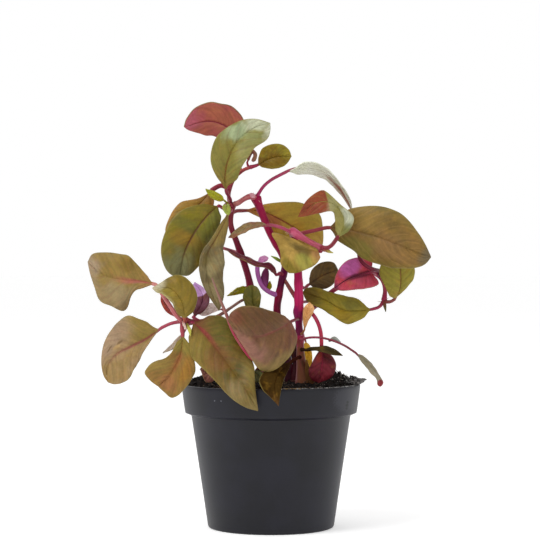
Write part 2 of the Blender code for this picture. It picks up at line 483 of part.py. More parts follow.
def make_leaf(name, axes, group, material):
    stem, stalk, midrib, edge_one, edge_two, lifts, _ = LEAVES[name]
    fractions, middle, ones, twos = blade_rows(midrib, edge_one, edge_two, lifts)
    radius = (STALK_RADIUS if len(middle) > BLADE_STEPS else SMALL_STALK_RADIUS) * MM
    route = [seen(*point) for point in stalk] + [middle[0]]
    join = nearest_on(axes[stem], route[0])
    route = np.array([(*place, radius) for place in [join[:3], *route]])
    route = clear_of(axes[stem], smooth_curve(route, np.linspace(0, 1, 201)))
    steps = max(1, round(length_of(route) / (STALK_SPACING * MM)))
    stalk_rows = smooth_curve(route, np.linspace(0, 1, steps + 1))[:, :3]
    centres = np.vstack((stalk_rows, middle[1:]))
    tangents = [unit(step) for step in np.gradient(centres, axis=0)]
    side = unit(twos[2] - ones[2])
    rings = []
    for centre, tangent in zip(stalk_rows, tangents):
        rings.append(leaf_ring(centre, centre - side, centre + side, tangent, 1, radius))
    for i in range(1, len(middle) - 1):
        roundness = max(0, 1 - fractions[i] / 0.2)
        tangent = tangents[len(stalk_rows) + i - 1]
        rings.append(leaf_ring(middle[i], ones[i], twos[i], tangent, roundness, radius))
    shape = bmesh.new()
    loops = [[shape.verts.new(place) for place in ring] for ring in rings]
    tip = shape.verts.new(middle[-1])
    shape.faces.new(loops[0])
    for near, far in zip(loops, loops[1:]):
        for k in range(8):
            j = (k + 1) % 8
            shape.faces.new((near[k], near[j], far[j], far[k]))
    for k in range(8):
        shape.faces.new((loops[-1][k], loops[-1][(k + 1) % 8], tip))
    bmesh.ops.triangulate(shape, faces=shape.faces)
    bmesh.ops.recalc_face_normals(shape, faces=shape.faces)
    mesh = bpy.data.meshes.new(name)
    shape.to_mesh(mesh)
    shape.free()
    mesh.shade_smooth()
    return add(name, mesh, group, material)


def turned(name, profile, steps, group, material):
    """A solid turned about the pot's axis from (radius, height) points in mm, down its outer side."""
    mesh = bpy.data.meshes.new(name)
    points = [(radius * MM, 0, height * MM) for radius, height in profile]
    mesh.from_pydata(points, [(i, i + 1) for i in range(len(points) - 1)], [])
    piece = add(name, mesh, group, material)
    screw = piece.modifiers.new("turn", "SCREW")
    screw.steps = steps
    screw.render_steps = steps
    screw.use_merge_vertices = True
    screw.merge_threshold = 0.0001
    screw.use_smooth_shade = True
    return piece


def make_pot(group):
    rim = RIM_DIAMETER / 2
    collar_foot = COLLAR_FOOT_DIAMETER / 2
    wall_top = WALL_TOP_DIAMETER / 2
    base = BASE_DIAMETER / 2
    step = POT_HEIGHT - COLLAR_HEIGHT
    inside = [(0, FLOOR), (base - WALL + 0.1, FLOOR), (wall_top - WALL, step - 0.1),
              (collar_foot - WALL, step + WALL), (rim - WALL, POT_HEIGHT - 0.4)]
    lip = [(rim - 0.7, POT_HEIGHT), (rim - 0.3, POT_HEIGHT), (rim, POT_HEIGHT - 0.4)]
    outside = [(collar_foot, step + 0.3), (collar_foot - 0.3, step), (wall_top, step - 0.6),
               (base, 0.8), (base - 0.6, 0), (0, 0)]
    return turned("pot", inside + lip + outside, POT_STEPS, group, finish("pot"))


def heap(x, y):
    """How far the soil stands above its turned form: a heap on each side, and low lumps."""
    right = RIGHT_HEAP * math.exp(-((x - 20) ** 2 + (y - 7) ** 2) / HEAP_WIDTH ** 2)
    left = LEFT_HEAP * math.exp(-((x + 19) ** 2 + (y - 8) ** 2) / HEAP_WIDTH ** 2)
    lumps = 0.35 * math.sin(0.55 * x + 1) * math.cos(0.6 * y) + 0.25 * math.sin(0.9 * y - 0.7 * x)
    return right + left + lumps


def make_soil(axes, group, guides):
    clear = WALL + GAP
    step = POT_HEIGHT - COLLAR_HEIGHT
    rim = RIM_DIAMETER / 2 - clear
    collar_foot = COLLAR_FOOT_DIAMETER / 2 - clear
    wall_top = WALL_TOP_DIAMETER / 2 - clear
    base = BASE_DIAMETER / 2 - clear
    profile = [(0, SOIL_MIDDLE), (4, SOIL_MIDDLE), (8, SOIL_MIDDLE - 0.1), (12, SOIL_MIDDLE - 0.2),
               (16, SOIL_MIDDLE - 0.5), (20, SOIL_MIDDLE - 0.9), (23.5, SOIL_MIDDLE - 1.5),
               (rim - 0.2, SOIL_EDGE), (collar_foot, step + 1.5), (wall_top, step + 0.4),
               (base, FLOOR + GAP), (0, FLOOR + GAP)]
    guide = turned("soil_turned", profile, SOIL_STEPS, guides, None)
    graph = bpy.context.evaluated_depsgraph_get()
    mesh = bpy.data.meshes.new_from_object(guide.evaluated_get(graph))
    bpy.data.objects.remove(guide, do_unlink=True)
    for vertex in mesh.vertices:
        x, y, z = (value / MM for value in vertex.co)
        if z > SOIL_MIDDLE - 1.6:
            fade = min(1, (rim - math.hypot(x, y)) / 2)
            vertex.co.z += heap(x, y) * fade * MM
    piece = add("soil", mesh, group, finish("soil"))
    for name, (parent, points) in STEMS.items():
        if parent:
            continue
        socket = cut_socket(name, points, guides)
        cut = piece.modifiers.new(name, "BOOLEAN")
        cut.operation = "DIFFERENCE"
        cut.solver = "EXACT"
        cut.object = socket
    return piece


def cut_socket(name, points, guides):
    """The hole in the soil that a stem's foot stands in, a gap wider and deeper than the foot."""
    across, down, depth, radius = points[0]
    foot = seen(across, down, depth)
    floor = foot[2] - GAP * MM
    height = 20 * MM
    mesh = bpy.data.meshes.new(name + "_socket")
    shape = bmesh.new()
    wide = (radius + GAP) * MM / math.cos(math.pi / 12)
    bmesh.ops.create_cone(shape, cap_ends=True, segments=12, radius1=wide, radius2=wide, depth=height)
    bmesh.ops.translate(shape, verts=shape.verts, vec=Vector((foot[0], foot[1], floor + height / 2)))
    shape.to_mesh(mesh)
    shape.free()
    socket = add(name + "_socket", mesh, guides)
    socket.hide_render = True
    socket.display_type = "WIRE"
    return socket


def main():
    clear_scene()
    plant = collection("potted_alternanthera")
    guides = collection("guides")
    axes = stem_axes()
    make_pot(plant)
    make_soil(axes, plant, guides)
    for name, axis in axes.items():
        make_stem(name, axis, plant, finish("stem"))
    for name, leaf in LEAVES.items():
        make_leaf(name, axes, plant, finish(leaf[-1]))


main()
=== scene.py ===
"""The potted alternanthera reineckii with its looks: stems, leaves, pot and soil in fine detail.

Everything is in metres, +Z up, with the origin at the centre of the pot's base. A stem or leaf is placed
by where it is seen from the front: a point across and down a view 540 wide and high, and its depth in
millimetres behind the pot's axis.
"""
import math

import bpy
import numpy as np
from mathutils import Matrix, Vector


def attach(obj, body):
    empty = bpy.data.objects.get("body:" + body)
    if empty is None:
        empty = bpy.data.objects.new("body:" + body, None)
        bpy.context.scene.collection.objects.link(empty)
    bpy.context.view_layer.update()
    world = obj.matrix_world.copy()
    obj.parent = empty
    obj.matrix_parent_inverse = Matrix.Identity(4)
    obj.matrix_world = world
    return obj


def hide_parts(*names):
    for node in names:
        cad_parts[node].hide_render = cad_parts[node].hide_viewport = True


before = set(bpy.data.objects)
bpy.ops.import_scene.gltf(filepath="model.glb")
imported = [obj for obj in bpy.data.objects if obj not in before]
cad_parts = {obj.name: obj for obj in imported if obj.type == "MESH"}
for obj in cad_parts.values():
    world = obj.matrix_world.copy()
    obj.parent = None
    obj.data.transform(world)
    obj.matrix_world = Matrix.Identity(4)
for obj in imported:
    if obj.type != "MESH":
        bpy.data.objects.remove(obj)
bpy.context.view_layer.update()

bpy.ops.object.select_all(action="DESELECT")

MM = 0.001
TURN = 2 * math.pi

# The view, in view units and millimetres
VIEW_WIDTH = 540
VIEW_MIDDLE = VIEW_WIDTH / 2
MM_PER_UNIT = 1 / 3.24
EYE_DISTANCE = 560.0
EYE_ACROSS = -0.3
EYE_HEIGHT = 79.1
SENSOR_WIDTH = 36

# The pot and soil, in millimetres
RIM_DIAMETER = 55.0
POT_HEIGHT = 44.0
COLLAR_FOOT = POT_HEIGHT - 8.8
COLLAR_FOOT_DIAMETER = 53.0
WALL_TOP_DIAMETER = 49.2
BASE_DIAMETER = 39.0
WALL = 1.0
FLOOR = 1.6
POT_SIDES = 160
EDGE_ANGLE = 38
SOIL_MIDDLE = 44.2
SOIL_FALL = 0.0027
SOIL_GAP = 1.35
SOIL_ROWS = 46
SOIL_SIDES = 144

# The heaps on the soil (across, back, height, spread), and its side from the top down (out, height)
SOIL_HEAPS = ((20, 7, 4.0, 64), (-20.5, 6, 3.4, 60))
SOIL_SIDE = ((24.9, COLLAR_FOOT + 1.5), (23.2, COLLAR_FOOT + 0.4), (18.3, 2.0), (0, 2.0))

# Leaves and stems, in millimetres, counts and parts of a length or radius
CURVE_STEPS = 12
BLADE_ROWS = 72
BLADE_COLUMNS = 32
BLADE_THICKNESS = 0.32
BASE_TAPER = 0.13
SMALL_BLADE = 11.0
QUILT = 0.1
RIB_WIDTH = 0.4
RIB_DEPTH = 0.1
STALK_RADIUS = 0.5
SMALL_STALK_RADIUS = 0.3
STALK_SIDES = 16
STALK_ROW = 0.9
STALK_FLARE = 0.45
FLARE_LENGTH = 0.9
ROUTE_ROWS = 201
STEM_SIDES = 28
STEM_ROW = 0.7
STEM_AXIS_ROWS = 401
NODE_SWELL = 0.14
NODE_LENGTH = 1.5
START_DEPTH = 0.35
END_POINT = 0.45
END_SHOULDER = 0.3
SHOULDER_WIDTH = 0.72
DOUBLES = 0.004

# What lies loose on the soil and rim, and the hairs, in counts and millimetres
CRUMBS = 1500
HEAP_GRIT = 110
GRIT = 70
CRUST = 420
SCRAPS = 46
DUST = 200
FIBRES = 46
FIBRE_ROWS = 9
NODE_HAIRS = 7
THREAD_SIDES = 6
SOIL_LIMIT = 25.3
FIBRE_START = 23
FIBRE_LIMIT = 24.5

# How a leaf's form differs from an ordinary one. Veins are a count and how far they lean forward, and
# waves a count and a height. Pillow lifts each half, crease is how much of a half bends into the fold,
# rib is how deep the midrib sinks, stalk is a radius in mm, and under turns the lower side to the front
FORM = {"veins": (7, 0.24), "waves": (2.5, 0.05), "pillow": 0.1, "crease": 0.3, "rib": 1, "under": False}
FORMS = {
    "leaf_top_red": {"under": True, "veins": (6, 0.3)},
    "leaf_top_green": {"waves": (1.6, 0.06)},
    "leaf_arching": {"veins": (4, 1.6), "pillow": 0.03, "waves": (3, 0.03)},
    "leaf_left_front": {"waves": (2.2, 0.07)},
    "leaf_hanging": {"veins": (9, 0.3), "waves": (4, 0.1)},
    "leaf_curled": {"pillow": 0.03, "stalk": 0.62},
    "leaf_low_red": {"stalk": 0.6},
    "leaf_lilac_stalk": {"stalk": 0.72},
    "leaf_back_right": {"stalk": 0.6},
    "leaf_low_long": {"stalk": 0.34},
    "leaf_pink_under": {"under": True},
    "leaf_lower_left": {"veins": (8, 0.3), "waves": (4, 0.07)},
    "leaf_upper_left": {"waves": (2, 0.06), "stalk": 0.65},
    "leaf_bottom_left": {"waves": (3, 0.06), "stalk": 0.65},
    "leaf_wavy": {"waves": (3, 0.1)},
    "leaf_ochre": {"stalk": 0.6},
    "leaf_right_big": {"stalk": 0.6, "veins": (9, 0.34), "waves": (3, 0.04)},
    "leaf_front": {"veins": (9, 0.26), "waves": (3.5, 0.03), "crease": 0.4},
    "leaf_centre_pale": {"crease": 0.9, "veins": (5, 0.2), "rib": 0.1},
    "leaf_cup": {"crease": 0.6},
    "leaf_crescent": {"under": True},
    "leaf_left_back": {"stalk": 0.75},
    "leaf_mauve": {"veins": (7, 0.3), "crease": 0.7, "rib": 0.35},
}

# The colours of an ordinary leaf, then what differs in each. A pair is a colour and what it mottles to,
# both stands for base and under, and a part is how much of a colour is laid on. A stalk has a colour at
# its foot, one at its end and one in its streaks. Beyond a line (where, slant) a blade has another pair.
# A mark is (across, along, half width, half length, colour, part), and lies on the side that faces up
# unless it ends with True. Some marks and colours below are painted sheen, highlight or shade, as said
# at each leaf
TINT = {
    "base": ("7e7224", "6c6222"), "under": ("9c5a48", "8c5044"), "patch": "8c6824", "margin_part": 0.5,
    "blush_part": 0.35, "vein_part": 0.22, "rib": "6c3c28", "rib_width": 1, "rib_fade": (0.55, 1.0),
    "rib_part": 0.85, "rim": "948348", "rim_part": 0.45, "marks": (), "shine": 0.22,
    "stalk": ("96304a", "8c3c3c", "6c1c34"),
}
TINTS = {
    "leaf_top_red": {"under": ("a65e46", "a4524c"), "rib": "8c3c34", "rib_part": 0.5, "rim": "8a5c48",
        "marks": ((0.6, 0.95, 0.6, 0.25, "b0586c", 0.8, True),)},
    # leaf_top_green: its pale grey-green marks are painted sheen, a highlight over its upper-left half and
    # towards its tip
    "leaf_top_green": {"base": ("7c7430", "747030"), "rib": "7c4828", "rib_fade": (0.25, 0.55),
        "stalk": ("843044", "7a4030", "7a2840"), "marks": ((0.3, 0.66, 0.3, 0.16, "9caa82", 0.85),
        (0.7, 0.72, 0.25, 0.12, "8c9260", 0.6), (0.85, 0.55, 0.25, 0.2, "808050", 0.6),
        (0.5, 1.0, 0.9, 0.2, "a4a682", 0.7), (0.35, 0.86, 0.42, 0.15, "b8bc9e", 0.9),
        (0.98, 0.9, 0.22, 0.14, "c0c4ac", 0.6))},
    "leaf_top_small": {"base": ("765c0e", "8c8222"), "blush": "74501a", "blush_part": 0.8, "rib": "64541a",
        "rib_part": 0.5},
    # leaf_arching: its pale grey-green colours are partly the leaf's own tone and partly painted sheen on
    # its upper side
    "leaf_arching": {"base": ("dadccc", "cdd0b8"), "patch": "b8b898", "blush_part": 0.0, "vein": "9c9c84",
        "vein_part": 0.6, "rib": "b8b8a4", "rim": "d8d8c8", "stalk": ("a02c5c", "8c4a44", "7a2840"),
        "marks": ((0.66, 0.8, 0.16, 0.34, "8c4434", 0.95), (1.0, 0.85, 0.5, 0.3, "9c7058", 0.6))},
    "leaf_left_front": {"base": ("726812", "6a6024"), "rib": "5c3820",
        "marks": ((0.85, 0.25, 0.4, 0.3, "66702c", 0.5), (0.35, 0.42, 0.3, 0.09, "5c5c20", 0.6),
        (0.4, 0.55, 0.35, 0.1, "80641a", 0.8), (0.5, 0.98, 0.9, 0.3, "747650", 0.85))},
    "leaf_left_back": {"base": ("846a1e", "845a18"), "margin": "a4743a", "margin_part": 0.8,
        "blush": "6c3424", "blush_part": 0.7, "stalk": ("8c3040", "7c3030", "6c1c34"),
        "marks": ((0.5, 0.95, 0.9, 0.25, "6a5812", 0.6), (0.3, 0.4, 0.3, 0.2, "98782c", 0.6))},
    "leaf_hanging": {"base": ("887c54", "665a3a"), "rib": "74402c", "rib_width": 1.6,
        "rib_fade": (0.25, 0.5), "rim": "98946c", "marks": ((0.5, 0.2, 0.8, 0.2, "7c682c", 0.8),
        (0.6, 0.5, 0.3, 0.12, "5c5020", 0.7))},
    "leaf_ochre": {"base": ("a88228", "a0862e"), "margin": "908430", "blush": "90442c", "blush_part": 0.9,
        "rib": "783428", "rib_fade": (0.5, 0.8), "stalk": ("842c34", "7c3424", "5c1c24"),
        "marks": ((0.65, 0.32, 0.25, 0.2, "8c402c", 0.75), (0.5, 0.95, 0.9, 0.2, "a08440", 0.7))},
    "leaf_centre_pale": {"base": ("b49448", "9c7e3a"), "blush_part": 0.0, "vein_part": 0.08,
        "rib": "9c8038", "rib_part": 0.1, "marks": ((0.75, 0.12, 0.4, 0.16, "a06c48", 0.6),
        (0.45, 0.36, 0.38, 0.18, "625020", 0.85), (0.85, 0.5, 0.3, 0.2, "90903c", 0.7),
        (0.6, 0.88, 0.7, 0.24, "766818", 0.85))},
    # leaf_curled: its pale mark b4b8a0 is a painted highlight
    "leaf_curled": {"base": ("8c8448", "847a3c"), "under": ("8c3e24", "803420"),
        "beyond": (0.56, 0.14, "803a1e", "78301c"), "blush_part": 0.2, "rib": "84803c",
        "stalk": ("842c38", "7c2c2c", "5c1c28"), "marks": ((0.85, 0.3, 0.35, 0.14, "b4b8a0", 0.9),
        (0.85, 0.14, 0.3, 0.09, "5c6430", 0.6), (0.5, 0.5, 0.8, 0.08, "9c9c7c", 0.35))},
    "leaf_edge_left": {"base": ("7a6840", "84483c"), "under": ("786838", "744c30"), "rib": "7c2c38",
        "stalk": ("b04c68", "8c3c48", "7a2840")},
    "leaf_edge_dark": {"both": ("6c2030", "581c28"), "rib": "6c1c34"},
    "leaf_yellow": {"base": ("a89c20", "989c1c"), "blush_part": 0.0, "rib": "8a8a24"},
    "leaf_small_oval": {"base": ("6a6224", "5c5a20"), "rib": "545424", "rim": "64642a"},
    "leaf_lilac_stalk": {"both": ("dc9ccc", "cc80b8"), "rib": "b060a0", "rim": "dca0cc",
        "stalk": ("b86cb0", "b468b0", "9c4890")},
    "leaf_young_tip": {"both": ("a4a01c", "8c901c"), "blush_part": 0.0, "rib": "a8a830", "rim": "a8a838",
        "stalk": ("8c8424", "989c1c", "a4a028")},
    "leaf_young_small": {"both": ("949c3c", "84903c"), "blush_part": 0.0, "rib": "a8ac58", "rim": "a8ac58",
        "stalk": ("949c58", "949c3c", "a8ac58")},
    "leaf_young_curl": {"base": ("804838", "6c5444"), "under": ("8a4838", "6c4434"), "rib": "80342c",
        "rim": "8c6c5c"},
    # leaf_upper_left: the greyish marks 8e7c64, 867450 and 8e805c are painted sheen, and the pale far and
    # streak colours of its stalk are partly painted highlight
    "leaf_upper_left": {"base": ("846d32", "806a30"), "blush_part": 0.2, "vein_part": 0.1, "rib": "a4544c",
        "rib_width": 2.4, "rib_fade": (0.3, 0.65), "rib_part": 0.75,
        "stalk": ("ac5c60", "c08078", "c88c80"), "marks": ((0.5, 1.0, 1.0, 0.26, "8e7c64", 0.85),
        (0.85, 0.55, 0.3, 0.4, "867450", 0.8), (0.75, 0.45, 0.2, 0.25, "8e805c", 0.4),
        (0.2, 0.45, 0.2, 0.12, "6c5418", 0.6))},
    # leaf_lower_left: the pinkish-grey mark 988068 is painted sheen, and the small marks b4945c and 644c28
    # are the painted highlight and painted shade of small wrinkles; dcc49c is a pale scar
    "leaf_lower_left": {"base": ("8c7344", "967c56"), "vein_part": 0.12, "rib": "8c4a44", "rib_width": 1.6,
        "rib_fade": (0.3, 0.9), "stalk": ("9c3c50", "94404c", "b86068"),
        "marks": ((0.15, 0.2, 0.6, 0.2, "7f6c2a", 0.85), (0.1, 0.55, 0.3, 0.3, "988068", 0.7),
        (0.45, 0.93, 0.07, 0.025, "dcc49c", 0.95), (0.34, 0.56, 0.05, 0.06, "b4945c", 0.6),
        (0.3, 0.5, 0.03, 0.05, "644c28", 0.7), (0.24, 0.63, 0.025, 0.05, "644c28", 0.7))},
    "leaf_bottom_left": {"base": ("84642c", "775a27"), "margin": "7c642a", "blush_part": 0.1,
        "vein": "985434", "vein_part": 0.2, "rib": "8c5030", "rib_fade": (0.2, 0.6), "rib_part": 0.45,
        "stalk": ("9c404c", "9c4c44", "7a2840"), "marks": ((0.5, 0.4, 0.12, 0.3, "8c5030", 0.6),
        (0.6, 0.8, 0.3, 0.15, "94603c", 0.6), (0.8, 0.45, 0.15, 0.2, "906418", 0.5),
        (0.15, 0.55, 0.3, 0.2, "847034", 0.7), (0.4, 0.12, 0.9, 0.24, "78702c", 0.7))},
    "leaf_front": {"base": ("64501a", "60501c"), "vein_part": 0.1, "rib": "903438", "rib_width": 1.8,
        "rib_fade": (0.15, 0.45), "rib_part": 0.75, "marks": ((0.9, 0.25, 0.4, 0.25, "7c6c2a", 0.7),
        (0.6, 0.42, 0.35, 0.14, "6c4824", 0.7), (0.15, 0.3, 0.3, 0.2, "5c5a1c", 0.6),
        (0.35, 0.62, 0.15, 0.06, "484214", 0.8), (0.7, 0.6, 0.1, 0.05, "484214", 0.6),
        (0.75, 0.74, 0.35, 0.12, "867a54", 0.4), (0.15, 0.75, 0.25, 0.2, "786a34", 0.7),
        (0.5, 1.0, 0.9, 0.18, "76683c", 0.8))},
    "leaf_cup": {"base": ("76621c", "6e5c1c"), "under": ("943c30", "80302c"), "blush_part": 0.2,
        "rib": "7c682c", "rib_part": 0.4, "rim": "a89c60", "rim_part": 0.7,
        "stalk": ("9c4040", "8c5434", "7c2c30"), "marks": ((0.5, 0.97, 0.9, 0.24, "b0a78a", 0.9),
        (0.3, 0.7, 0.25, 0.2, "847428", 0.6), (0.05, 0.6, 0.2, 0.3, "a4985e", 0.7))},
    "leaf_crescent": {"both": ("9c4430", "8c3428"), "rib": "6c1c20", "rim": "98483c"},
    "leaf_purple": {"both": ("5c2c3c", "683848"), "beyond": (0.6, 0.16, "ccaad4", "bc90c8"),
        "vein_part": 0.1, "rib": "5c2c40", "marks": ((0.5, 0.15, 1.2, 0.2, "4c1820", 0.9),
        (0.5, 0.15, 1.2, 0.2, "4c1820", 0.9, True))},
    "leaf_narrow": {"base": ("b0a08c", "94846c"), "rib": "5c4434"},
    "leaf_pale_pink": {"both": ("f4e8e0", "dcccc4"), "blush_part": 0.0, "rib": "c0a49c", "rim": "c8b0a4"},
    "leaf_mauve": {"base": ("603e28", "684e32"), "margin": "745c38", "vein_part": 0.1, "rib": "8c4444",
        "rib_fade": (0.4, 0.7), "rib_part": 0.4, "stalk": ("702c38", "7c4038", "4c1c24"),
        "marks": ((0.1, 0.5, 0.35, 0.5, "5c4020", 0.85), (0.15, 0.85, 0.3, 0.14, "6c3828", 0.6),
        (0.8, 0.7, 0.35, 0.25, "885e50", 0.85), (0.98, 0.45, 0.12, 0.25, "7c6838", 0.8),
        (0.65, 0.35, 0.2, 0.15, "6c4a2c", 0.6))},
    # leaf_under_mauve: the near-black mark 2c1c10 by its stalk is painted shadow, and its dark base colours
    # are partly painted shade
    "leaf_under_mauve": {"base": ("402e12", "30200a"), "rib": "4c3010", "shine": 0.0,
        "stalk": ("341410", "3c2410", "240c08"), "marks": ((0.5, 1.0, 0.7, 0.25, "68482c", 0.8),
        (0.5, 0.1, 1.2, 0.25, "2c1c10", 0.9))},
    "leaf_low_green": {"base": ("64683c", "545830"), "blush_part": 0.0, "rib": "5c6038"},
    "leaf_on_soil": {"both": ("a47464", "8c5c50"), "rib": "7c3c38"},
    "leaf_right_big": {"base": ("785a2a", "685222"), "margin": "74682e", "blush": "593e14",
        "blush_part": 0.9, "vein": "92703e", "vein_part": 0.25, "rib": "74542c", "rib_part": 0.3,
        "stalk": ("8c3440", "7c3024", "6c2424"), "marks": ((0.5, 1.0, 0.9, 0.14, "5c523c", 0.85),
        (0.6, 0.6, 0.3, 0.2, "7c5c34", 0.6), (0.2, 0.3, 0.3, 0.25, "8a7034", 0.6),
        (0.85, 0.3, 0.3, 0.2, "64621e", 0.6))},
    "leaf_right_green": {"base": ("7c7420", "847a28"), "rib": "74482a", "rib_fade": (0.6, 0.9),
        "stalk": ("7c3c3c", "8c5840", "6c3030")},
    # leaf_pink_under: its midrib, three times as wide and dark maroon, is a real midrib widened with painted
    # shade between the blade's two halves
    "leaf_pink_under": {"under": ("b63c4b", "ac4458"), "blush_part": 0.2, "vein_part": 0.08,
        "rib": "4c0c24", "rib_width": 3, "rib_fade": (0.5, 0.8), "rim": "b85068",
        "stalk": ("a83850", "4c0c24", "3c0820"), "marks": ((0.12, 0.5, 0.42, 0.26, "ac5490", 0.95, True),
        (0.1, 0.1, 0.5, 0.14, "b03c50", 0.8, True), (0.5, 1.0, 0.9, 0.15, "6c1c44", 0.8, True))},
    "leaf_wavy": {"base": ("8c7a18", "887a26"), "vein_part": 0.12, "rib": "665820", "rib_part": 0.5,
        "rim": "8c8840", "marks": ((0.5, 0.97, 0.9, 0.26, "5a4a14", 0.85),
        (0.75, 0.42, 0.3, 0.14, "8c7018", 0.7), (0.25, 0.3, 0.25, 0.2, "66642a", 0.6))},
    # leaf_back_oval: its dark olive colours are the leaf's own olive darkened with painted shade
    "leaf_back_oval": {"base": ("504020", "5c4824"), "rib": "4c2c20"},
    "leaf_low_red": {"base": ("5c101a", "701c28"), "margin": "5c1824", "rib": "a02c4c",
        "rib_fade": (0.8, 1.1), "rim": "7c3038", "stalk": ("a4284c", "ac3044", "7c1c38"),
        "marks": ((0.3, 0.22, 0.25, 0.22, "9c3424", 0.6), (0.8, 0.75, 0.2, 0.2, "8c2430", 0.5),
        (0.75, 0.3, 0.2, 0.2, "4c0c14", 0.7))},
    "leaf_mustard": {"base": ("f0c440", "e4ac2c"), "blush_part": 0.0, "rib": "c08c28", "rim": "a87c28"},
    # leaf_low_dark: its dark olive-brown colours are partly the leaf's own and partly painted shade
    "leaf_low_dark": {"both": ("3c3420", "483c22"), "rib": "302818", "rim": "5c5038", "shine": 0.0,
        "stalk": ("341c14", "38301c", "241408")},
    "leaf_low_long": {"both": ("8c8470", "7c745c"), "beyond": (0.83, 0.0, "84242c", "6c1c24"),
        "rib": "6c5844", "rim": "8c8468", "stalk": ("a43c54", "74343c", "6c2434")},
    "leaf_dried": {"base": ("e8b47c", "cc9054"), "under": ("d09c60", "b07838"), "vein_part": 0.5,
        "rib": "a05c34", "rim": "d0a070", "stalk": ("a0603c", "b87c44", "8c4c2c")},
    # leaf_back_low: its near-black maroon is partly the leaf's own colour and partly painted shade, filling
    # the dark behind the feet of the stems
    "leaf_back_low": {"both": ("381418", "2c0c14"), "rib": "2c0c14", "rim": "3c1c18", "shine": 0.05,
        "stalk": ("3c1018", "3c1018", "2c0c14")},
    "leaf_back_right": {"base": ("84682c", "746430"), "stalk": ("64182c", "741c30", "481020")},
    "leaf_back_wavy": {"base": ("787c2c", "6c6c28")},
}

# The colours of each stem, at its foot, at its end and of its streaks, where the first turns to the
# second, and its bands (middle, reach, colour)
STEM_TINTS = {
    "main_stem": ("6c4028", "b01854", "7c0c3c", (0.27, 0.42),
        ((0.44, 0.05, "4c0a30"), (0.51, 0.04, "7c0c4c"))),
    "centre_stem": ("320818", "94043c", "5c0428", (0.2, 0.6), ((0.58, 0.05, "5c1040"),)),
    "left_stem": ("680024", "7c2834", "4c041c", (0.78, 0.92), ((0.5, 0.25, "74002c"),)),
    "thin_stem": ("a03048", "8c6c5c", "7c2438", (0.5, 0.85), ()),
    "top_side_shoot": ("a84c58", "984c50", "c08478", (0.2, 0.8), ()),
    # upper_right_shoot: its pale pink streak colour is painted highlight
    "upper_right_shoot": ("a83c5c", "984450", "cc7088", (0.3, 0.8), ()),
    "upper_shoot": ("742834", "9c4440", "6c2030", (0.2, 0.8), ()),
    "right_shoot": ("6c2434", "a03050", "842044", (0.2, 0.5), ((0.8, 0.1, "bc5c70"),)),
    "left_shoot": ("8c685c", "98383c", "6c3830", (0.4, 0.8), ()),
}

# Small marks on the pot: (across, down, depth, radius in mm, colour)
POT_SPECKS = [
    (214.5, 401, -22, 0.26, "565860"), (221, 401, -22.5, 0.26, "565860"), (346, 399, -14, 4.5, "24242c"),
    (347.6, 402, -13, 0.5, "020204"), (347, 405, -13, 0.6, "020204"), (346.4, 408, -13, 0.45, "020204"),
]

# Buds, stipules, sheaths and a twig: two colours, then (across, down, depth, radius) along each
BUDS = {
    "end_bud": ("9c5848", "b0a454", [(324, 249.3, -7.4, 0.4), (328, 251.3, -7.8, 0.5),
        (333, 252.8, -7.6, 0.15)]),
    "right_bud": ("7c3c38", "54502c", [(384.2, 301.5, 5, 0.5), (384.8, 306, 4.2, 0.52),
        (385.8, 311.8, 3.8, 0.12)]),
    "left_bud": ("8c7c38", "b0ac50", [(186.5, 324, -20, 0.45), (189.6, 330, -21.6, 0.62),
        (190.3, 336, -22, 0.15)]),
    "pale_stipule": ("b88880", "ccb0a4", [(182.6, 320.5, -19, 0.4), (184.2, 325, -20.8, 0.5),
        (186.6, 330, -21.4, 0.12)]),
    "green_bud": ("6c7c2c", "8ca43c", [(282.4, 262.6, 4.6, 0.4), (277, 259, 3.4, 0.55),
        (271, 256, 3, 0.12)]),
    "grey_leaf_tip": ("78786c", "9ca098", [(329, 341, -8.6, 0.35), (334.5, 338.8, -8.2, 0.75),
        (340.5, 342.2, -8.8, 0.2)]),
    "purple_bud": ("8c447c", "6c2c50", [(264.8, 289, 5.4, 0.5), (264.6, 282, 5.6, 1.25),
        (265.6, 273.5, 5.6, 1.15), (267, 267, 5.6, 0.35)]),
    "yellow_bud": ("8c8c1c", "a49c20", [(267.6, 291, 5.8, 0.25), (269.4, 286.5, 6.2, 0.85),
        (269.8, 281.4, 6.4, 0.25)]),
    "top_stipule": ("b87080", "c89098", [(248.6, 197.6, 0, 0.5), (251.6, 195.8, -0.4, 0.95),
        (254.6, 196.8, -0.4, 0.5)]),
    # The near-black sheath here, between the feet of the stems, stands in for the shade there: its colours
    # are painted shade
    "shade_filling_sheath": ("2c0a14", "3c1018", [(295.4, 352, 5.5, 0.4), (295.2, 366, 5, 0.9), (294.8, 377, 4, 1.2),
        (294.6, 388, 3.4, 1.3)]),
    "foot_sheath": ("6c4a24", "5c3c20", [(306.2, 360, -1.4, 0.3), (307, 367, -1.6, 0.7),
        (308.2, 375, -1.8, 1.2), (310.2, 384, -2, 1.7), (311, 390, -2, 1.7)]),
    "brown_twig": ("9c5c54", "8c4448", [(285, 280.5, 6, 0.6), (290.5, 289.5, 3.6, 0.7),
        (297.5, 300.5, 0.6, 0.75)]),
}

# Where the stems have short hairs: (across, down, depth)
HAIRY_NODES = [
    (289, 234, -2), (375, 272.5, 9), (384, 301, 5.5), (229.5, 204.5, 1), (300, 335, -1),
    (184, 321.5, -17.5), (256, 198, 1.5),
]

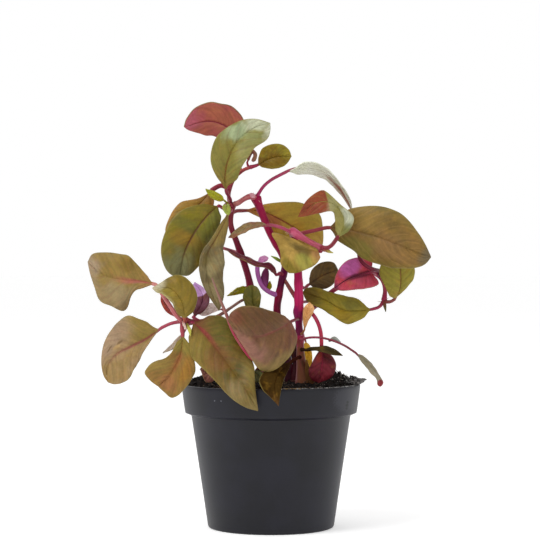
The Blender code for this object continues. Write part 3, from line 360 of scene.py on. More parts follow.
# Each stem: what it grows from, then (across, down, depth, radius) along it
STEMS = {
    "main_stem": (None,
        [(304.6, 400, 0, 3.0), (304.6, 385, 0, 3.0), (303.3, 375, 0, 2.3), (301.6, 365, 0, 1.6),
        (300.6, 355, 0, 1.15), (300.2, 345, 0, 1.1), (299.4, 335, 0, 1.2), (298.8, 322, 0, 1.05),
        (298.6, 312, 0, 1.3), (298.8, 302, 0, 1.3), (298.5, 286, 1, 1.25), (298, 272, 2, 1.25),
        (297, 254, 2.6, 1.15), (293.5, 235, 1.8, 1.0)]),
    "centre_stem": (None,
        [(290, 400, 6, 1.8), (290, 384, 6, 1.8), (289.3, 370, 6, 1.6), (285.5, 351, 6, 1.3),
        (279, 327, 6, 1.2), (277, 308, 6, 1.15), (281, 284, 6, 1.1), (285, 266, 7, 1.1),
        (281.5, 253, 7, 1.15), (271, 235, 6, 1.15), (263, 216, 4, 1.15), (256, 198, 2, 1.25)]),
    "left_stem": (None,
        [(266, 400, 5, 1.2), (266, 384, 5, 1.2), (260, 350, 5, 1.1), (254, 315, 6, 1.05),
        (249.8, 284, 6, 1.05), (244.4, 264, 5, 1.0), (237, 243, 4, 0.95), (231, 226, 3, 0.9),
        (230.5, 213, 2, 0.9), (229.5, 205, 1.5, 1.05)]),
    "thin_stem": (None,
        [(262, 400, -9, 0.6), (262, 391, -9, 0.6), (262, 382, -9, 0.6), (261.3, 375, -12.8, 0.6),
        (259.5, 368.5, -18.8, 0.6), (256, 361.5, -24, 0.6), (249, 355.5, -25.2, 0.6),
        (240, 343, -24.6, 0.6), (232.5, 330, -24.3, 0.55), (226.5, 315, -22.8, 0.5),
        (219.5, 298, -19.5, 0.42), (214.5, 285, -17.5, 0.32), (212, 278, -16.5, 0.2)]),
    "top_side_shoot": ("centre_stem",
        [(250, 196.5, 0, 0.95), (244, 199, -0.5, 0.8), (238, 203, 0, 0.85), (234.6, 204, 0.5, 0.9)]),
    "upper_right_shoot": ("main_stem",
        [(292.5, 231.5, -1.5, 1.2), (298, 235, -4.5, 1.1), (305, 239.2, -6.2, 0.9), (314, 244, -6.6, 0.82),
        (323, 248.5, -6.6, 0.68), (329.5, 251.3, -6.6, 0.42)]),
    "upper_shoot": ("left_stem",
        [(229, 192, 6.5, 0.6), (234, 179, 7, 0.55), (242, 171, 6, 0.5), (250, 167.3, 4.5, 0.45)]),
    "right_shoot": ("main_stem",
        [(306, 312, 5, 0.75), (318, 304, 9.5, 0.75), (334, 290, 11, 0.75), (355, 279, 10.5, 0.75),
        (370, 273.5, 9.5, 0.8), (378, 274.5, 8, 0.75), (383, 281, 7, 0.7), (385, 290, 6, 0.65),
        (384, 301, 5.5, 0.75)]),
    "left_shoot": ("left_stem",
        [(243, 300, 2, 0.45), (232, 307, -4, 0.45), (218, 316, -9, 0.5), (203, 321, -13.5, 0.6),
        (190, 322, -16.5, 0.8), (183, 321, -17.5, 0.95)]),
}

# Each leaf: its stem, its stalk, its midrib from base to tip (all across, down, depth), its two edges
# (across, down), and how far each edge lies behind the midrib halfway along, in mm
LEAVES = {
    "leaf_top_red": ("upper_shoot", [(240, 166, 8), (245, 154, 9)],
        [(245, 146, 9), (232, 130, 9), (210, 121, 8), (184, 127, 6)],
        [(232, 141), (215, 137), (200, 133.5), (189, 130.5)],
        [(245, 124), (233, 108), (213, 102), (196, 108), (187, 118)], (5, -5)),
    "leaf_top_green": ("left_stem", [(230.5, 200.5, 0.8), (229, 196.5, -1)],
        [(226, 192, -3), (225, 176, -5), (229, 158, -7), (238, 140, -7), (253, 128, -5), (270, 123, -2)],
        [(220, 182), (212.5, 168), (211, 155), (215, 139), (224, 129.5), (239, 121), (255, 119)],
        [(231, 184), (237, 179), (240, 171), (244, 164), (250, 155), (256, 147), (267, 139), (270, 131)],
        (-2, -2)),
    "leaf_top_small": ("upper_shoot", [(254, 166.2, 4)],
        [(257, 165.3, 4), (266, 160.5, 3.5), (277, 156.8, 2.5), (291.5, 156.5, 1)],
        [(258.5, 158), (262, 149), (268.5, 145), (275, 143.8), (283, 145), (289, 149.8)],
        [(263, 167.5), (272, 168.8), (281, 167.6), (287.6, 162.8)], (-1, -1)),
    "leaf_arching": ("centre_stem", [(263, 187, 0), (271, 180, -1), (279, 175.5, -2)],
        [(286, 172, -2), (305, 168, -2), (325, 172, -1), (340, 185, 1), (348, 199, 3), (352, 211, 4)],
        [(295, 168), (303, 162.8), (311, 161.8), (318, 163.3), (326, 168), (333.5, 175.2), (340.5, 183.5),
        (346.5, 192.5), (351, 202)],
        [(298, 174.3), (311, 174), (322, 178), (330, 183.5), (337, 190), (343, 197.5), (348, 205)],
        (-4, 5)),
    "leaf_left_front": ("left_stem", [(224, 208.5, -1)],
        [(219, 205.5, -4.2), (208, 215, -7), (196, 231, -8.5), (185, 252, -9), (180, 275, -7)],
        [(212.5, 203.2), (200, 204.6), (190, 206.8), (181.5, 210.5), (173.5, 217.5), (167, 227.5),
        (162, 243), (161.5, 256), (166, 269), (173, 275.5)],
        [(221, 211), (220, 222), (215, 236), (208, 250), (200, 264), (189.5, 274.8)], (-1, 2.5)),
    "leaf_left_back": ("upper_shoot", [(222, 185.5, 6), (217, 187, 6)],
        [(212, 190, 5), (200, 203, 5), (186, 215, 4.5), (176, 226, 4), (169, 240, 3)],
        [(205, 195.5), (197, 199), (182, 202), (173.5, 210.5), (168, 221), (165.5, 231)],
        [(214, 203), (208, 220), (196, 233), (182, 241)], (1, -1)),
    "leaf_hanging": ("left_stem", [(231.2, 210.3, -1.8)],
        [(229.8, 211, -4.6), (222.5, 226, -9.6), (215, 239, -12), (206.5, 254, -13), (206, 275, -14),
        (211, 293, -14), (219, 311, -13)],
        [(229, 219), (227.5, 229), (225, 239), (223.5, 248), (224, 260), (223, 280), (224, 293),
        (222, 303)],
        [(224.5, 217), (219, 226), (210.5, 239.5), (202, 252), (199, 262), (199.5, 272), (203, 286),
        (210.5, 299)], (2, -1)),
    "leaf_ochre": ("left_stem", [(236.5, 211, 5)],
        [(242, 210.7, 7.6), (254, 210.8, 9.8), (267, 213.5, 10.5), (290, 226, 11), (308, 239, 11),
        (320, 252, 10)],
        [(248, 208.4), (256, 206.6), (265, 204.4), (275, 202.9), (288, 202), (303, 203.6), (319, 213.5),
        (322.7, 228), (323, 242)],
        [(249, 213.2), (256, 215.6), (263, 220), (272, 232.5), (285, 245), (300, 254), (312, 255.5)],
        (1, 0)),
    "leaf_centre_pale": ("upper_right_shoot", [],
        [(320.5, 252, -4.6), (308, 249, -4), (295, 251, -3.5), (287, 258, -3.5), (289, 273, -3.5)],
        [(312, 246.5), (301, 241.5), (287, 236.5), (272, 233), (277, 243), (280.6, 253), (281, 264)],
        [(320, 258), (315.5, 264.3), (307, 269), (297, 272.6)], (0, 0)),
    "leaf_curled": ("upper_right_shoot", [(323, 247.6, -8.6), (328, 247.6, -9.2), (332.3, 244.6, -9.2)],
        [(336.8, 238.5, -9), (342, 229.5, -9.4), (343.5, 220.5, -10.3), (341, 212, -12), (332, 203, -13.5),
        (316, 203, -13), (298, 217, -10)],
        [(335.6, 234), (335.2, 226), (335.2, 219), (332, 211.5), (318, 213.5), (305, 216.6)],
        [(342.5, 237.5), (348, 232), (352, 226), (354, 219), (351, 213), (341, 205), (328, 193),
        (321, 190.3), (310, 197), (303.5, 205)], (-1, -1)),
    "leaf_edge_left": ("upper_right_shoot", [(290, 231.5, -3), (282, 227.8, -5), (274, 225.6, -6.5)],
        [(268, 224.8, -7.4), (258, 224.4, -8.3), (247, 226.6, -9), (237.5, 231.6, -9),
        (228.5, 237.8, -8.5)],
        [(260, 222.4), (249, 222.9), (239, 227.6), (231.5, 234.3)],
        [(260, 226.8), (251, 229.6), (242, 233.4), (233.5, 237.8)], (3, -3)),
    "leaf_edge_dark": ("centre_stem", [(280, 273, 4)],
        [(277, 275.5, 2.5), (273, 269.4, 1), (268.5, 265.6, 0), (262, 265.2, -0.6), (254, 263, -1.2),
        (247, 259.7, -1.8), (240, 256.6, -2.3), (233, 253, -3), (225, 248.5, -4)],
        [(276.6, 271), (273, 265.8), (268.5, 262.6), (261, 263), (254, 260.6), (247.5, 257), (240, 254.6),
        (233, 251)],
        [(274.6, 276), (269.5, 270), (263.5, 267.3), (255, 265.8), (247.5, 262.6), (240, 258.8),
        (233, 255.2)], (2, -2)),
    "leaf_yellow": ("left_stem", [],
        [(246.5, 287, 4), (240, 289.5, 4), (227, 296, 3)],
        [(243, 286), (235, 289.5)],
        [(245, 292.5), (236, 294.5)], (-2, 1)),
    "leaf_small_oval": ("left_stem", [(256.5, 322, 3)],
        [(255, 316, 0), (252.5, 300, -1), (252, 285, 0)],
        [(247, 309), (243, 297), (246, 288)],
        [(259, 309), (261, 297), (258, 288)], (-1, -1)),
    "leaf_lilac_stalk": ("centre_stem", [(275, 294.4, 5.5), (268.5, 291.6, 5.5), (262.5, 286.5, 5.2),
        (259, 279, 5), (257.3, 270, 5.2)],
        [(258, 262.4, 5.5), (262.8, 259.4, 5.5), (268.4, 257.8, 5.5)],
        [(260, 257.6), (264.6, 256)],
        [(263, 262.4), (267.2, 260.6)], (1, -1)),
    "leaf_young_tip": ("left_stem", [(226, 202, -0.5)],
        [(224.5, 200.8, -2.5), (215.5, 195.4, -4.5), (205.5, 189, -6)],
        [(221.5, 195), (213, 190.8)],
        [(217.5, 200.8), (209.5, 196)], (-1, 1)),
    "leaf_young_small": ("left_stem", [],
        [(227.6, 204.6, -4.6), (226.6, 209, -8.2), (228.6, 215.4, -10.8)],
        [(223.2, 205.4), (222.6, 209), (225.4, 213.4)],
        [(230.2, 207.6), (230.4, 212)], (-0.6, 0.4)),
    "leaf_young_curl": ("upper_shoot", [(247, 163, 4.5)],
        [(247.8, 162, 3.5), (249.6, 155, 2.4), (252.8, 151.2, 1.6), (255.2, 155.5, 1), (253, 162, 0.6)],
        [(246.8, 159.5), (248.6, 152.8), (252.8, 149.4), (256.8, 154), (255.8, 160.5)],
        [(249.2, 160), (250.8, 155.5), (252.7, 153.2), (253.7, 156), (251.8, 160.5)], (-1, 1)),
    "leaf_upper_left": ("left_shoot", [(178.5, 318, -20.3), (174, 312, -20), (168.5, 303.5, -18.5),
        (163.5, 296, -17), (159, 289, -16)],
        [(155.5, 284.5, -14.5), (147, 282.5, -13), (136, 281, -12), (121, 279, -11), (102, 275, -9),
        (88, 262, -7)],
        [(151, 279.5), (141, 269), (130, 256.5), (121, 254), (104.5, 252.5), (93, 254)],
        [(148, 287.5), (136, 290), (130.5, 297), (127, 307), (122, 311), (112, 306), (101, 301), (95, 288),
        (90.5, 274)], (-1, 1)),
    "leaf_lower_left": ("left_shoot", [(171, 323.5, -17.5)],
        [(161, 328, -17), (146, 341, -16), (131, 348, -15.5), (116, 354, -15), (107, 366, -14),
        (108, 382, -13)],
        [(149, 323), (137, 318), (128, 315.5), (116, 324), (108, 335), (103, 347), (101.4, 362),
        (103.5, 375)],
        [(153.5, 337), (145, 350), (137, 364.5), (130, 377), (124, 382), (115, 384)], (-1, -1)),
    "leaf_bottom_left": ("left_shoot", [(182, 329, -20)],
        [(182.8, 334, -20.5), (181, 350, -21), (175, 367, -21), (167, 378, -20.5), (158, 386, -20)],
        [(177, 342), (171, 353), (163, 359), (151.4, 363.3), (144.8, 372), (150, 380)],
        [(188, 341), (192.5, 354), (195.5, 368), (191, 380), (183, 391), (172.5, 397.7), (165, 392.5)],
        (-1, -1)),
    "leaf_front": ("left_shoot", [(189.5, 323, -18.8)],
        [(191.5, 321, -20), (202, 330, -20.5), (214, 344, -21.5), (233, 371, -25), (247, 391, -29),
        (258, 411, -30.3)],
        [(209, 315.8), (226, 318.6), (240, 340), (253, 363), (254.5, 377), (255.5, 393)],
        [(188.5, 332), (191, 355), (198, 364), (205, 370.5), (217, 383), (225, 392), (235, 401),
        (246, 407.5)], (2, -1)),
    "leaf_cup": ("left_shoot", [(184.6, 321, -20)],
        [(184.4, 319.6, -22.2), (181, 303, -24), (170, 290, -23), (152.5, 288, -20)],
        [(178.6, 314.5), (172, 303), (164, 294.7), (156.5, 292)],
        [(190.5, 315.3), (195.4, 306.5), (197, 298), (195.5, 290.5), (191, 283), (185, 277), (177, 275),
        (169, 278), (161, 283)], (3, 2)),
    "leaf_crescent": ("left_shoot", [],
        [(176, 317.5, -14.5), (169.5, 311.5, -14.5), (163.5, 303, -14.5), (161, 294.5, -14.5)],
        [(166.5, 312), (161, 302.5)],
        [(172.5, 312), (167, 302.5)], (0.5, 1.5)),
    "leaf_purple": ("left_shoot", [],
        [(193, 317, -12.5), (201, 306, -11), (203, 295, -10), (195, 282, -9)],
        [(193, 307), (194, 297), (192, 288)],
        [(203, 312), (209.5, 302), (206, 290)], (1, -1)),
    "leaf_narrow": ("left_shoot", [(187, 327, -14.5)],
        [(183, 334, -14), (175, 344, -14), (162.8, 353, -14)],
        [(179, 336.6), (169.5, 346.6)],
        [(182, 340.5), (172.6, 349.4)], (1, -1)),
    "leaf_pale_pink": ("left_shoot", [],
        [(222, 309, -6.4), (210, 308.5, -7.6), (197.5, 314, -9)],
        [(215, 303.8), (204, 305)],
        [(214, 312.5), (204.5, 316)], (1, -1)),
    "leaf_mauve": ("main_stem", [(296, 319.5, -4)],
        [(292, 321, -9), (282, 325, -15), (270, 330, -20), (252, 337, -25), (238, 333, -26),
        (228, 320, -25)],
        [(289, 317.5), (283, 315.5), (265, 309), (244, 306), (232, 312)],
        [(297, 330), (296, 345), (289, 357), (276, 369), (266, 371.5), (256, 365), (245, 349), (234, 331)],
        (1.5, -1.5)),
    "leaf_under_mauve": ("main_stem", [(297, 358, -5)],
        [(291, 362, -10), (279, 374, -22), (275, 389, -30), (278.5, 406, -31)],
        [(276, 365), (264, 372), (259, 382), (263, 390), (271, 398)],
        [(289.5, 367), (287, 372), (283, 381), (280.5, 392)], (-2, 0)),
    "leaf_low_green": ("thin_stem", [(258.5, 368, -20.5)],
        [(255, 370.5, -22), (259, 375, -23), (264, 379.5, -23.5)],
        [(253.5, 375), (256.5, 382.5)],
        [(258.5, 370), (264, 374)], (0.5, -0.5)),
    "leaf_on_soil": ("left_shoot", [(196, 338, -8), (208, 358, -6)],
        [(216, 372, -7), (208, 374, -8), (200, 369, -9)],
        [(212, 367), (205, 365)],
        [(214, 381), (206, 382)], (2, -2)),
    "leaf_right_big": ("upper_right_shoot", [(304, 232.8, -3.5), (314, 230.6, -3), (322, 228.6, -3)],
        [(327, 227.5, -3.2), (348, 230, -6), (375, 237, -10), (400, 246, -13), (418, 253, -14),
        (431, 257, -14)],
        [(332, 221.5), (342, 213.5), (353.6, 208), (376, 206), (394, 210), (407, 219), (419, 234),
        (425, 244)],
        [(331, 233), (337.5, 240), (345, 245), (354, 251), (362.5, 258), (376, 263), (389, 267.5),
        (403, 268), (416, 267.5), (425, 264)], (-1, 3)),
    "leaf_right_green": ("right_shoot", [(388, 302, 4.5), (392, 301, 4)],
        [(395.5, 298.5, 3.5), (400.5, 288, 1.5), (401, 272, 0), (398, 256, -1)],
        [(391.5, 299), (386, 288), (379.5, 273), (384, 260)],
        [(400, 294), (407, 287), (413.5, 278), (413, 265)], (-0.5, 0.5)),
    "leaf_pink_under": ("right_shoot", [(375.3, 272.6, 5.9)],
        [(373, 272, 4), (360, 275.5, 1.5), (347, 280, 0), (334, 288.5, 0)],
        [(371, 260), (357, 257.5), (344, 263), (336, 275)],
        [(378.5, 284), (366, 288), (351, 290), (341, 290.5)], (1, -1)),
    "leaf_wavy": ("right_shoot", [(379, 307, 5)],
        [(373, 309, 4.5), (358, 311, 4.5), (343, 310, 5), (325, 300, 5.5), (311, 295, 6), (303, 292, 6.5)],
        [(364.5, 304.5), (357.5, 299), (346, 296), (332, 293), (318, 288), (307, 288)],
        [(366, 316), (360, 320), (350.5, 323.5), (343.5, 323), (332, 316), (324, 310), (310, 303.5),
        (305, 298)], (1, -1)),
    "leaf_back_oval": ("main_stem", [(304, 288, 7)],
        [(308, 285, 10), (322, 276, 13), (338, 270, 14)],
        [(312, 270), (322, 262.5), (333, 262.5)],
        [(317, 289), (328, 288), (336, 280)], (1, -1)),
    "leaf_low_red": ("main_stem", [(306, 311.5, -0.8), (312, 313.5, -1.6), (318, 323, -3.5),
        (321, 334, -4.5)],
        [(321.6, 347, -5), (322, 359, -5.5), (321, 371, -6), (318.5, 383, -6)],
        [(319.8, 350), (317, 354), (312.3, 362), (308.8, 371), (311.5, 379.5)],
        [(323.6, 350), (327.5, 352.6), (333, 357.6), (336, 366), (331.5, 377)], (-0.5, 0.5)),
    "leaf_mustard": ("main_stem", [(304, 337, 3.5)],
        [(305.5, 341, 4.5), (307.5, 354, 5), (308, 369, 6)],
        [(303.6, 346), (303.6, 359)],
        [(310, 346), (312, 355), (311.6, 363)], (1, 0)),
    "leaf_low_dark": ("main_stem", [],
        [(304, 349.7, -3.2), (312.5, 348.6, -5.6), (320, 349, -7.3), (328.5, 350.2, -7.6),
        (342.7, 355.6, -7.8)],
        [(310, 347.5), (319, 347), (325, 345.9), (331.5, 348), (337, 350.7)],
        [(312, 349.7), (320, 351.4), (328.5, 353.8), (334.8, 355.2)], (0.6, -1.6)),
    "leaf_low_long": ("main_stem", [(303, 339.2, -4), (309, 337.6, -6.5), (320, 337.6, -8.5),
        (331, 340, -9.5), (343.5, 345, -11), (353, 351, -12)],
        [(357, 353.8, -12.5), (364.3, 360.3, -13), (371, 367.6, -13.7), (376.2, 374.6, -14),
        (379.5, 380, -14), (380, 386.6, -14)],
        [(361, 354.6), (367.6, 360.2), (374.3, 367), (378.4, 374.8), (382.7, 381.5), (382, 385)],
        [(359, 358), (364.5, 365.2), (370.5, 372.4), (375.5, 377.2), (377.2, 381), (377.6, 385)], (2, -2)),
    "leaf_dried": ("main_stem", [(302, 333.5, -2)],
        [(304.6, 330, -3.2), (306, 317, -3.6), (309.5, 302, -3.6)],
        [(303.4, 322), (303.8, 309)],
        [(307.5, 322), (314, 309)], (0.5, 1)),
    "leaf_back_upper_left": ("left_stem", [(236, 252, 9.5), (226, 249, 14)],
        [(219, 247, 18), (207, 243, 24), (195, 243, 29), (183, 248, 32)],
        [(210, 229), (199, 223), (188, 230)],
        [(212, 257), (202, 265), (190, 263)], (2, 2)),
    "leaf_back_right": ("right_shoot", [(380, 271.2, 5.4), (374.5, 269.6, 1.6), (367, 266.4, -0.7),
        (361.5, 261.5, -1), (359.3, 256.5, 0.3), (359.3, 251, 4), (363, 247.5, 10), (369, 251, 14.5)],
        [(376, 256, 17), (382, 243, 22), (390, 230, 27), (397, 220, 28)],
        [(367, 247), (369, 231), (380, 220)],
        [(388, 254), (402, 245), (407, 232)], (2, 3)),
    "leaf_back_low": ("centre_stem", [(291.5, 378.5, 10)],
        [(293.4, 377, 11.5), (294.4, 366, 12.5), (293.8, 352, 14), (291, 338, 15.5)],
        [(290, 372), (288.8, 358), (288.4, 345)],
        [(298.4, 372), (299.8, 358), (297, 345)], (1, 1)),
    "leaf_back_middle": ("centre_stem", [(277, 242, 11)],
        [(281, 240, 14), (288, 233, 20), (297, 225, 26), (305, 220, 30)],
        [(280, 228), (287, 217), (297, 212)],
        [(294, 244), (306, 240), (311, 230)], (1, 2)),
    "leaf_back_wavy": ("main_stem", [(301, 302, 7), (311, 301, 13)],
        [(317, 302, 16), (326, 300, 21), (336, 303, 27), (346, 308, 31)],
        [(320, 298.5), (329, 298), (340, 301)],
        [(321, 307.5), (331, 311), (341, 312)], (-6, 6)),
    "leaf_back_centre": ("main_stem", [(297, 262, 8)],
        [(297, 257, 13), (300, 250, 19), (303, 242, 26), (303, 233, 30)],
        [(290, 250), (290, 240), (296, 233)],
        [(304, 260), (314, 250), (313, 238)], (2, 2)),
}

def seen(across, down, depth):
    """The place, in metres, of what is seen at a point of the view, depth mm behind the pot's axis."""
    spread = MM_PER_UNIT * (1 + depth / EYE_DISTANCE)
    x = EYE_ACROSS + (across - VIEW_MIDDLE) * spread
    z = EYE_HEIGHT + (VIEW_MIDDLE - down) * spread
    return np.array((x, depth, z)) * MM


def run_of(rows):
    """How far along a route each of its rows is."""
    steps = np.linalg.norm(np.diff(rows[:, :3], axis=0), axis=1)
    return np.concatenate(([0], np.cumsum(steps)))


def smooth_curve(points, fractions):
    """Rows at the given fractions of the length of a smooth curve through the given rows."""
    points = np.asarray(points, float)
    row = np.vstack((2 * points[0] - points[1], points, 2 * points[-1] - points[-2]))
    fine = []
    for i in range(len(points) - 1):
        p0, p1, p2, p3 = row[i:i + 4]
        bend = 2 * p0 - 5 * p1 + 4 * p2 - p3
        turn = 3 * p1 - p0 - 3 * p2 + p3
        for t in np.linspace(0, 1, CURVE_STEPS, endpoint=False):
            fine.append(p1 + 0.5 * ((p2 - p0) * t + bend * t ** 2 + turn * t ** 3))
    fine = np.array(fine + [points[-1]])
    run = run_of(fine)
    return np.column_stack([np.interp(np.asarray(fractions) * run[-1], run, part) for part in fine.T])


def nearest_on(axis, point):
    """The number of the row of a stem's axis that is nearest to a place."""
    return int(np.argmin(np.linalg.norm(axis[:, :3] - point, axis=1)))


def unit(vectors):
    """Each row made one long."""
    return vectors / np.maximum(np.linalg.norm(vectors, axis=-1, keepdims=True), 1e-9)


def activate(piece):
    bpy.ops.object.select_all(action="DESELECT")
    piece.select_set(True)
    bpy.context.view_layer.objects.active = piece


def smoothed(piece):
    """The piece with its faces shaded smoothly into each other."""
    activate(piece)
    bpy.ops.object.shade_smooth()
    return piece


def name_piece(piece, name):
    piece.name = piece.data.name = name


def dress(piece, *finishes):
    """Gives a piece its finishes, in place of any that it has."""
    piece.data.materials.clear()
    for finish in finishes:
        piece.data.materials.append(finish)


def laid_grid(name, places, maps):
    """A grid primitive laid out through rows of places, with its UV map, its doubles merged."""
    rows, columns = places.shape[:2]
    bpy.ops.mesh.primitive_grid_add(x_subdivisions=columns - 1, y_subdivisions=rows - 1, size=1)
    piece = bpy.context.object
    name_piece(piece, name)
    mesh = piece.data
    corners = np.empty(len(mesh.loops), int)
    mesh.loops.foreach_get("vertex_index", corners)
    mesh.uv_layers[0].data.foreach_set("uv", maps.reshape(-1, 2)[corners].ravel())
    mesh.vertices.foreach_set("co", places.ravel())
    mesh.update()
    bpy.ops.object.mode_set(mode="EDIT")
    bpy.ops.mesh.select_all(action="SELECT")
    bpy.ops.mesh.remove_doubles(threshold=DOUBLES * MM)
    bpy.ops.object.mode_set(mode="OBJECT")
    return piece


def turn_faces(piece, outwards=True):
    """Turns every face of a piece: all outwards, or all the other way round."""
    activate(piece)
    bpy.ops.object.mode_set(mode="EDIT")
    bpy.ops.mesh.select_all(action="SELECT")
    if outwards:
        bpy.ops.mesh.normals_make_consistent(inside=False)
    else:
        bpy.ops.mesh.flip_normals()
    bpy.ops.object.mode_set(mode="OBJECT")


def joined(pieces):
    """The pieces as one mesh, named as the first."""
    activate(pieces[0])
    for piece in pieces:
        piece.select_set(True)
    bpy.ops.object.join()
    return pieces[0]


def tube(name, rows, sides, ripple=None):
    """A round closed tube along rows of place and radius, its U round it and its V along it."""
    centres, radii = rows[:, :3], rows[:, 3]
    tangents = unit(np.gradient(centres, axis=0))
    across = np.cross(tangents[0], (0.12, 0.9, 0.4))
    turns = np.linspace(0, TURN, sides + 1)
    places = []
    for i, tangent in enumerate(tangents):
        across = unit(across - tangent * (across @ tangent))
        above = np.cross(tangent, across)
        around = np.outer(np.cos(turns), across) + np.outer(np.sin(turns), above)
        swell = 1 if ripple is None else ripple(turns, i)[:, None]
        places.append(centres[i] + around * radii[i] * swell)
    for end, inward in ((0, 1), (-1, -1)):
        ring, centre, radius = places[end], centres[end], radii[end]
        point = centre - inward * tangents[end] * END_POINT * radius
        shoulder = centre + (ring - centre) * SHOULDER_WIDTH - inward * tangents[end] * END_SHOULDER * radius
        cap = [np.repeat([point], sides + 1, axis=0), shoulder]
        places = cap + places if end == 0 else places + cap[::-1]
    along = np.linspace(0, 1, len(places))
    maps = np.stack(np.meshgrid(turns / TURN, along), axis=-1)
    piece = laid_grid(name, np.array(places), maps)
    turn_faces(piece)
    return smoothed(piece)


def stem_axes():
    """Each stem's axis as many rows of place and radius, in metres, from inside what it grows from."""
    axes = {}
    for name, (parent, points) in STEMS.items():
        rows = [(*seen(*place), radius * MM) for *place, radius in points]
        if parent:
            join = axes[parent][nearest_on(axes[parent], rows[0][:3])]
            rows = [(*join[:3], rows[0][3])] + rows
        axes[name] = smooth_curve(rows, np.linspace(0, 1, STEM_AXIS_ROWS))
    return axes


def leaving(axis, route):
    """The route from where it is well inside the skin of the stem that it leaves."""
    join = axis[nearest_on(axis, route[0, :3])]
    out = np.linalg.norm(route[:, :3] - join[:3], axis=1)
    start = int(np.argmax(out > START_DEPTH * join[3]))
    return route[start:]


def nodes_of(name, axes):
    """How far along a stem each leaf and shoot leaves it, in metres."""
    run = run_of(axes[name])
    starts = [(stalk or midrib)[0] for stem, stalk, midrib, *_ in LEAVES.values() if stem == name]
    starts += [points[0] for parent, points in STEMS.values() if parent == name]
    return [run[nearest_on(axes[name], seen(*start[:3]))] for start in starts]


def make_stem(name, axes):
    """A stem, a little uneven and ridged, that swells at its nodes."""
    parent = STEMS[name][0]
    run = run_of(axes[name])
    swollen = axes[name].copy()
    for node in nodes_of(name, axes):
        swollen[:, 3] *= 1 + NODE_SWELL * np.exp(-((run - node) / (NODE_LENGTH * MM)) ** 2)
    if parent:
        swollen = leaving(axes[parent], swollen)
    steps = round(run_of(swollen)[-1] / (STEM_ROW * MM))
    rows = smooth_curve(swollen[::4], np.linspace(0, 1, steps + 1))
    wander = np.random.default_rng(len(name)).uniform(0, 6, 3)

    def ridges(turns, i):
        slow = 0.035 * np.sin(0.11 * i + wander[0]) + 0.03 * np.sin(0.23 * i + wander[1])
        return 1 + slow * np.cos(turns * 2 + wander[2]) + 0.02 * np.cos(turns * 7 + 0.05 * i)
    return tube(name, rows, STEM_SIDES, ridges)


def blade_rows(name):
    """Fractions along a blade, and its midrib and two edges as places in metres."""
    _, _, midrib, *edges, lifts = LEAVES[name]
    even = np.linspace(0, 1, BLADE_ROWS + 1)
    fractions = 0.45 * even + 0.55 * (0.5 - 0.5 * np.cos(math.pi * even))
    middle = smooth_curve(midrib, fractions)
    sides = []
    for edge, lift in zip(edges, lifts):
        outline = smooth_curve([midrib[0][:2], *edge, midrib[-1][:2]], fractions)
        depths = middle[:, 2] + lift * np.sin(math.pi * fractions)
        sides.append(np.array([seen(*at, depth) for at, depth in zip(outline, depths)]))
    middle = np.array([seen(*row) for row in middle])
    taper = np.clip(fractions / BASE_TAPER, 0, 1)[:, None] ** 0.8
    return fractions, middle, *[middle + (side - middle) * taper for side in sides]


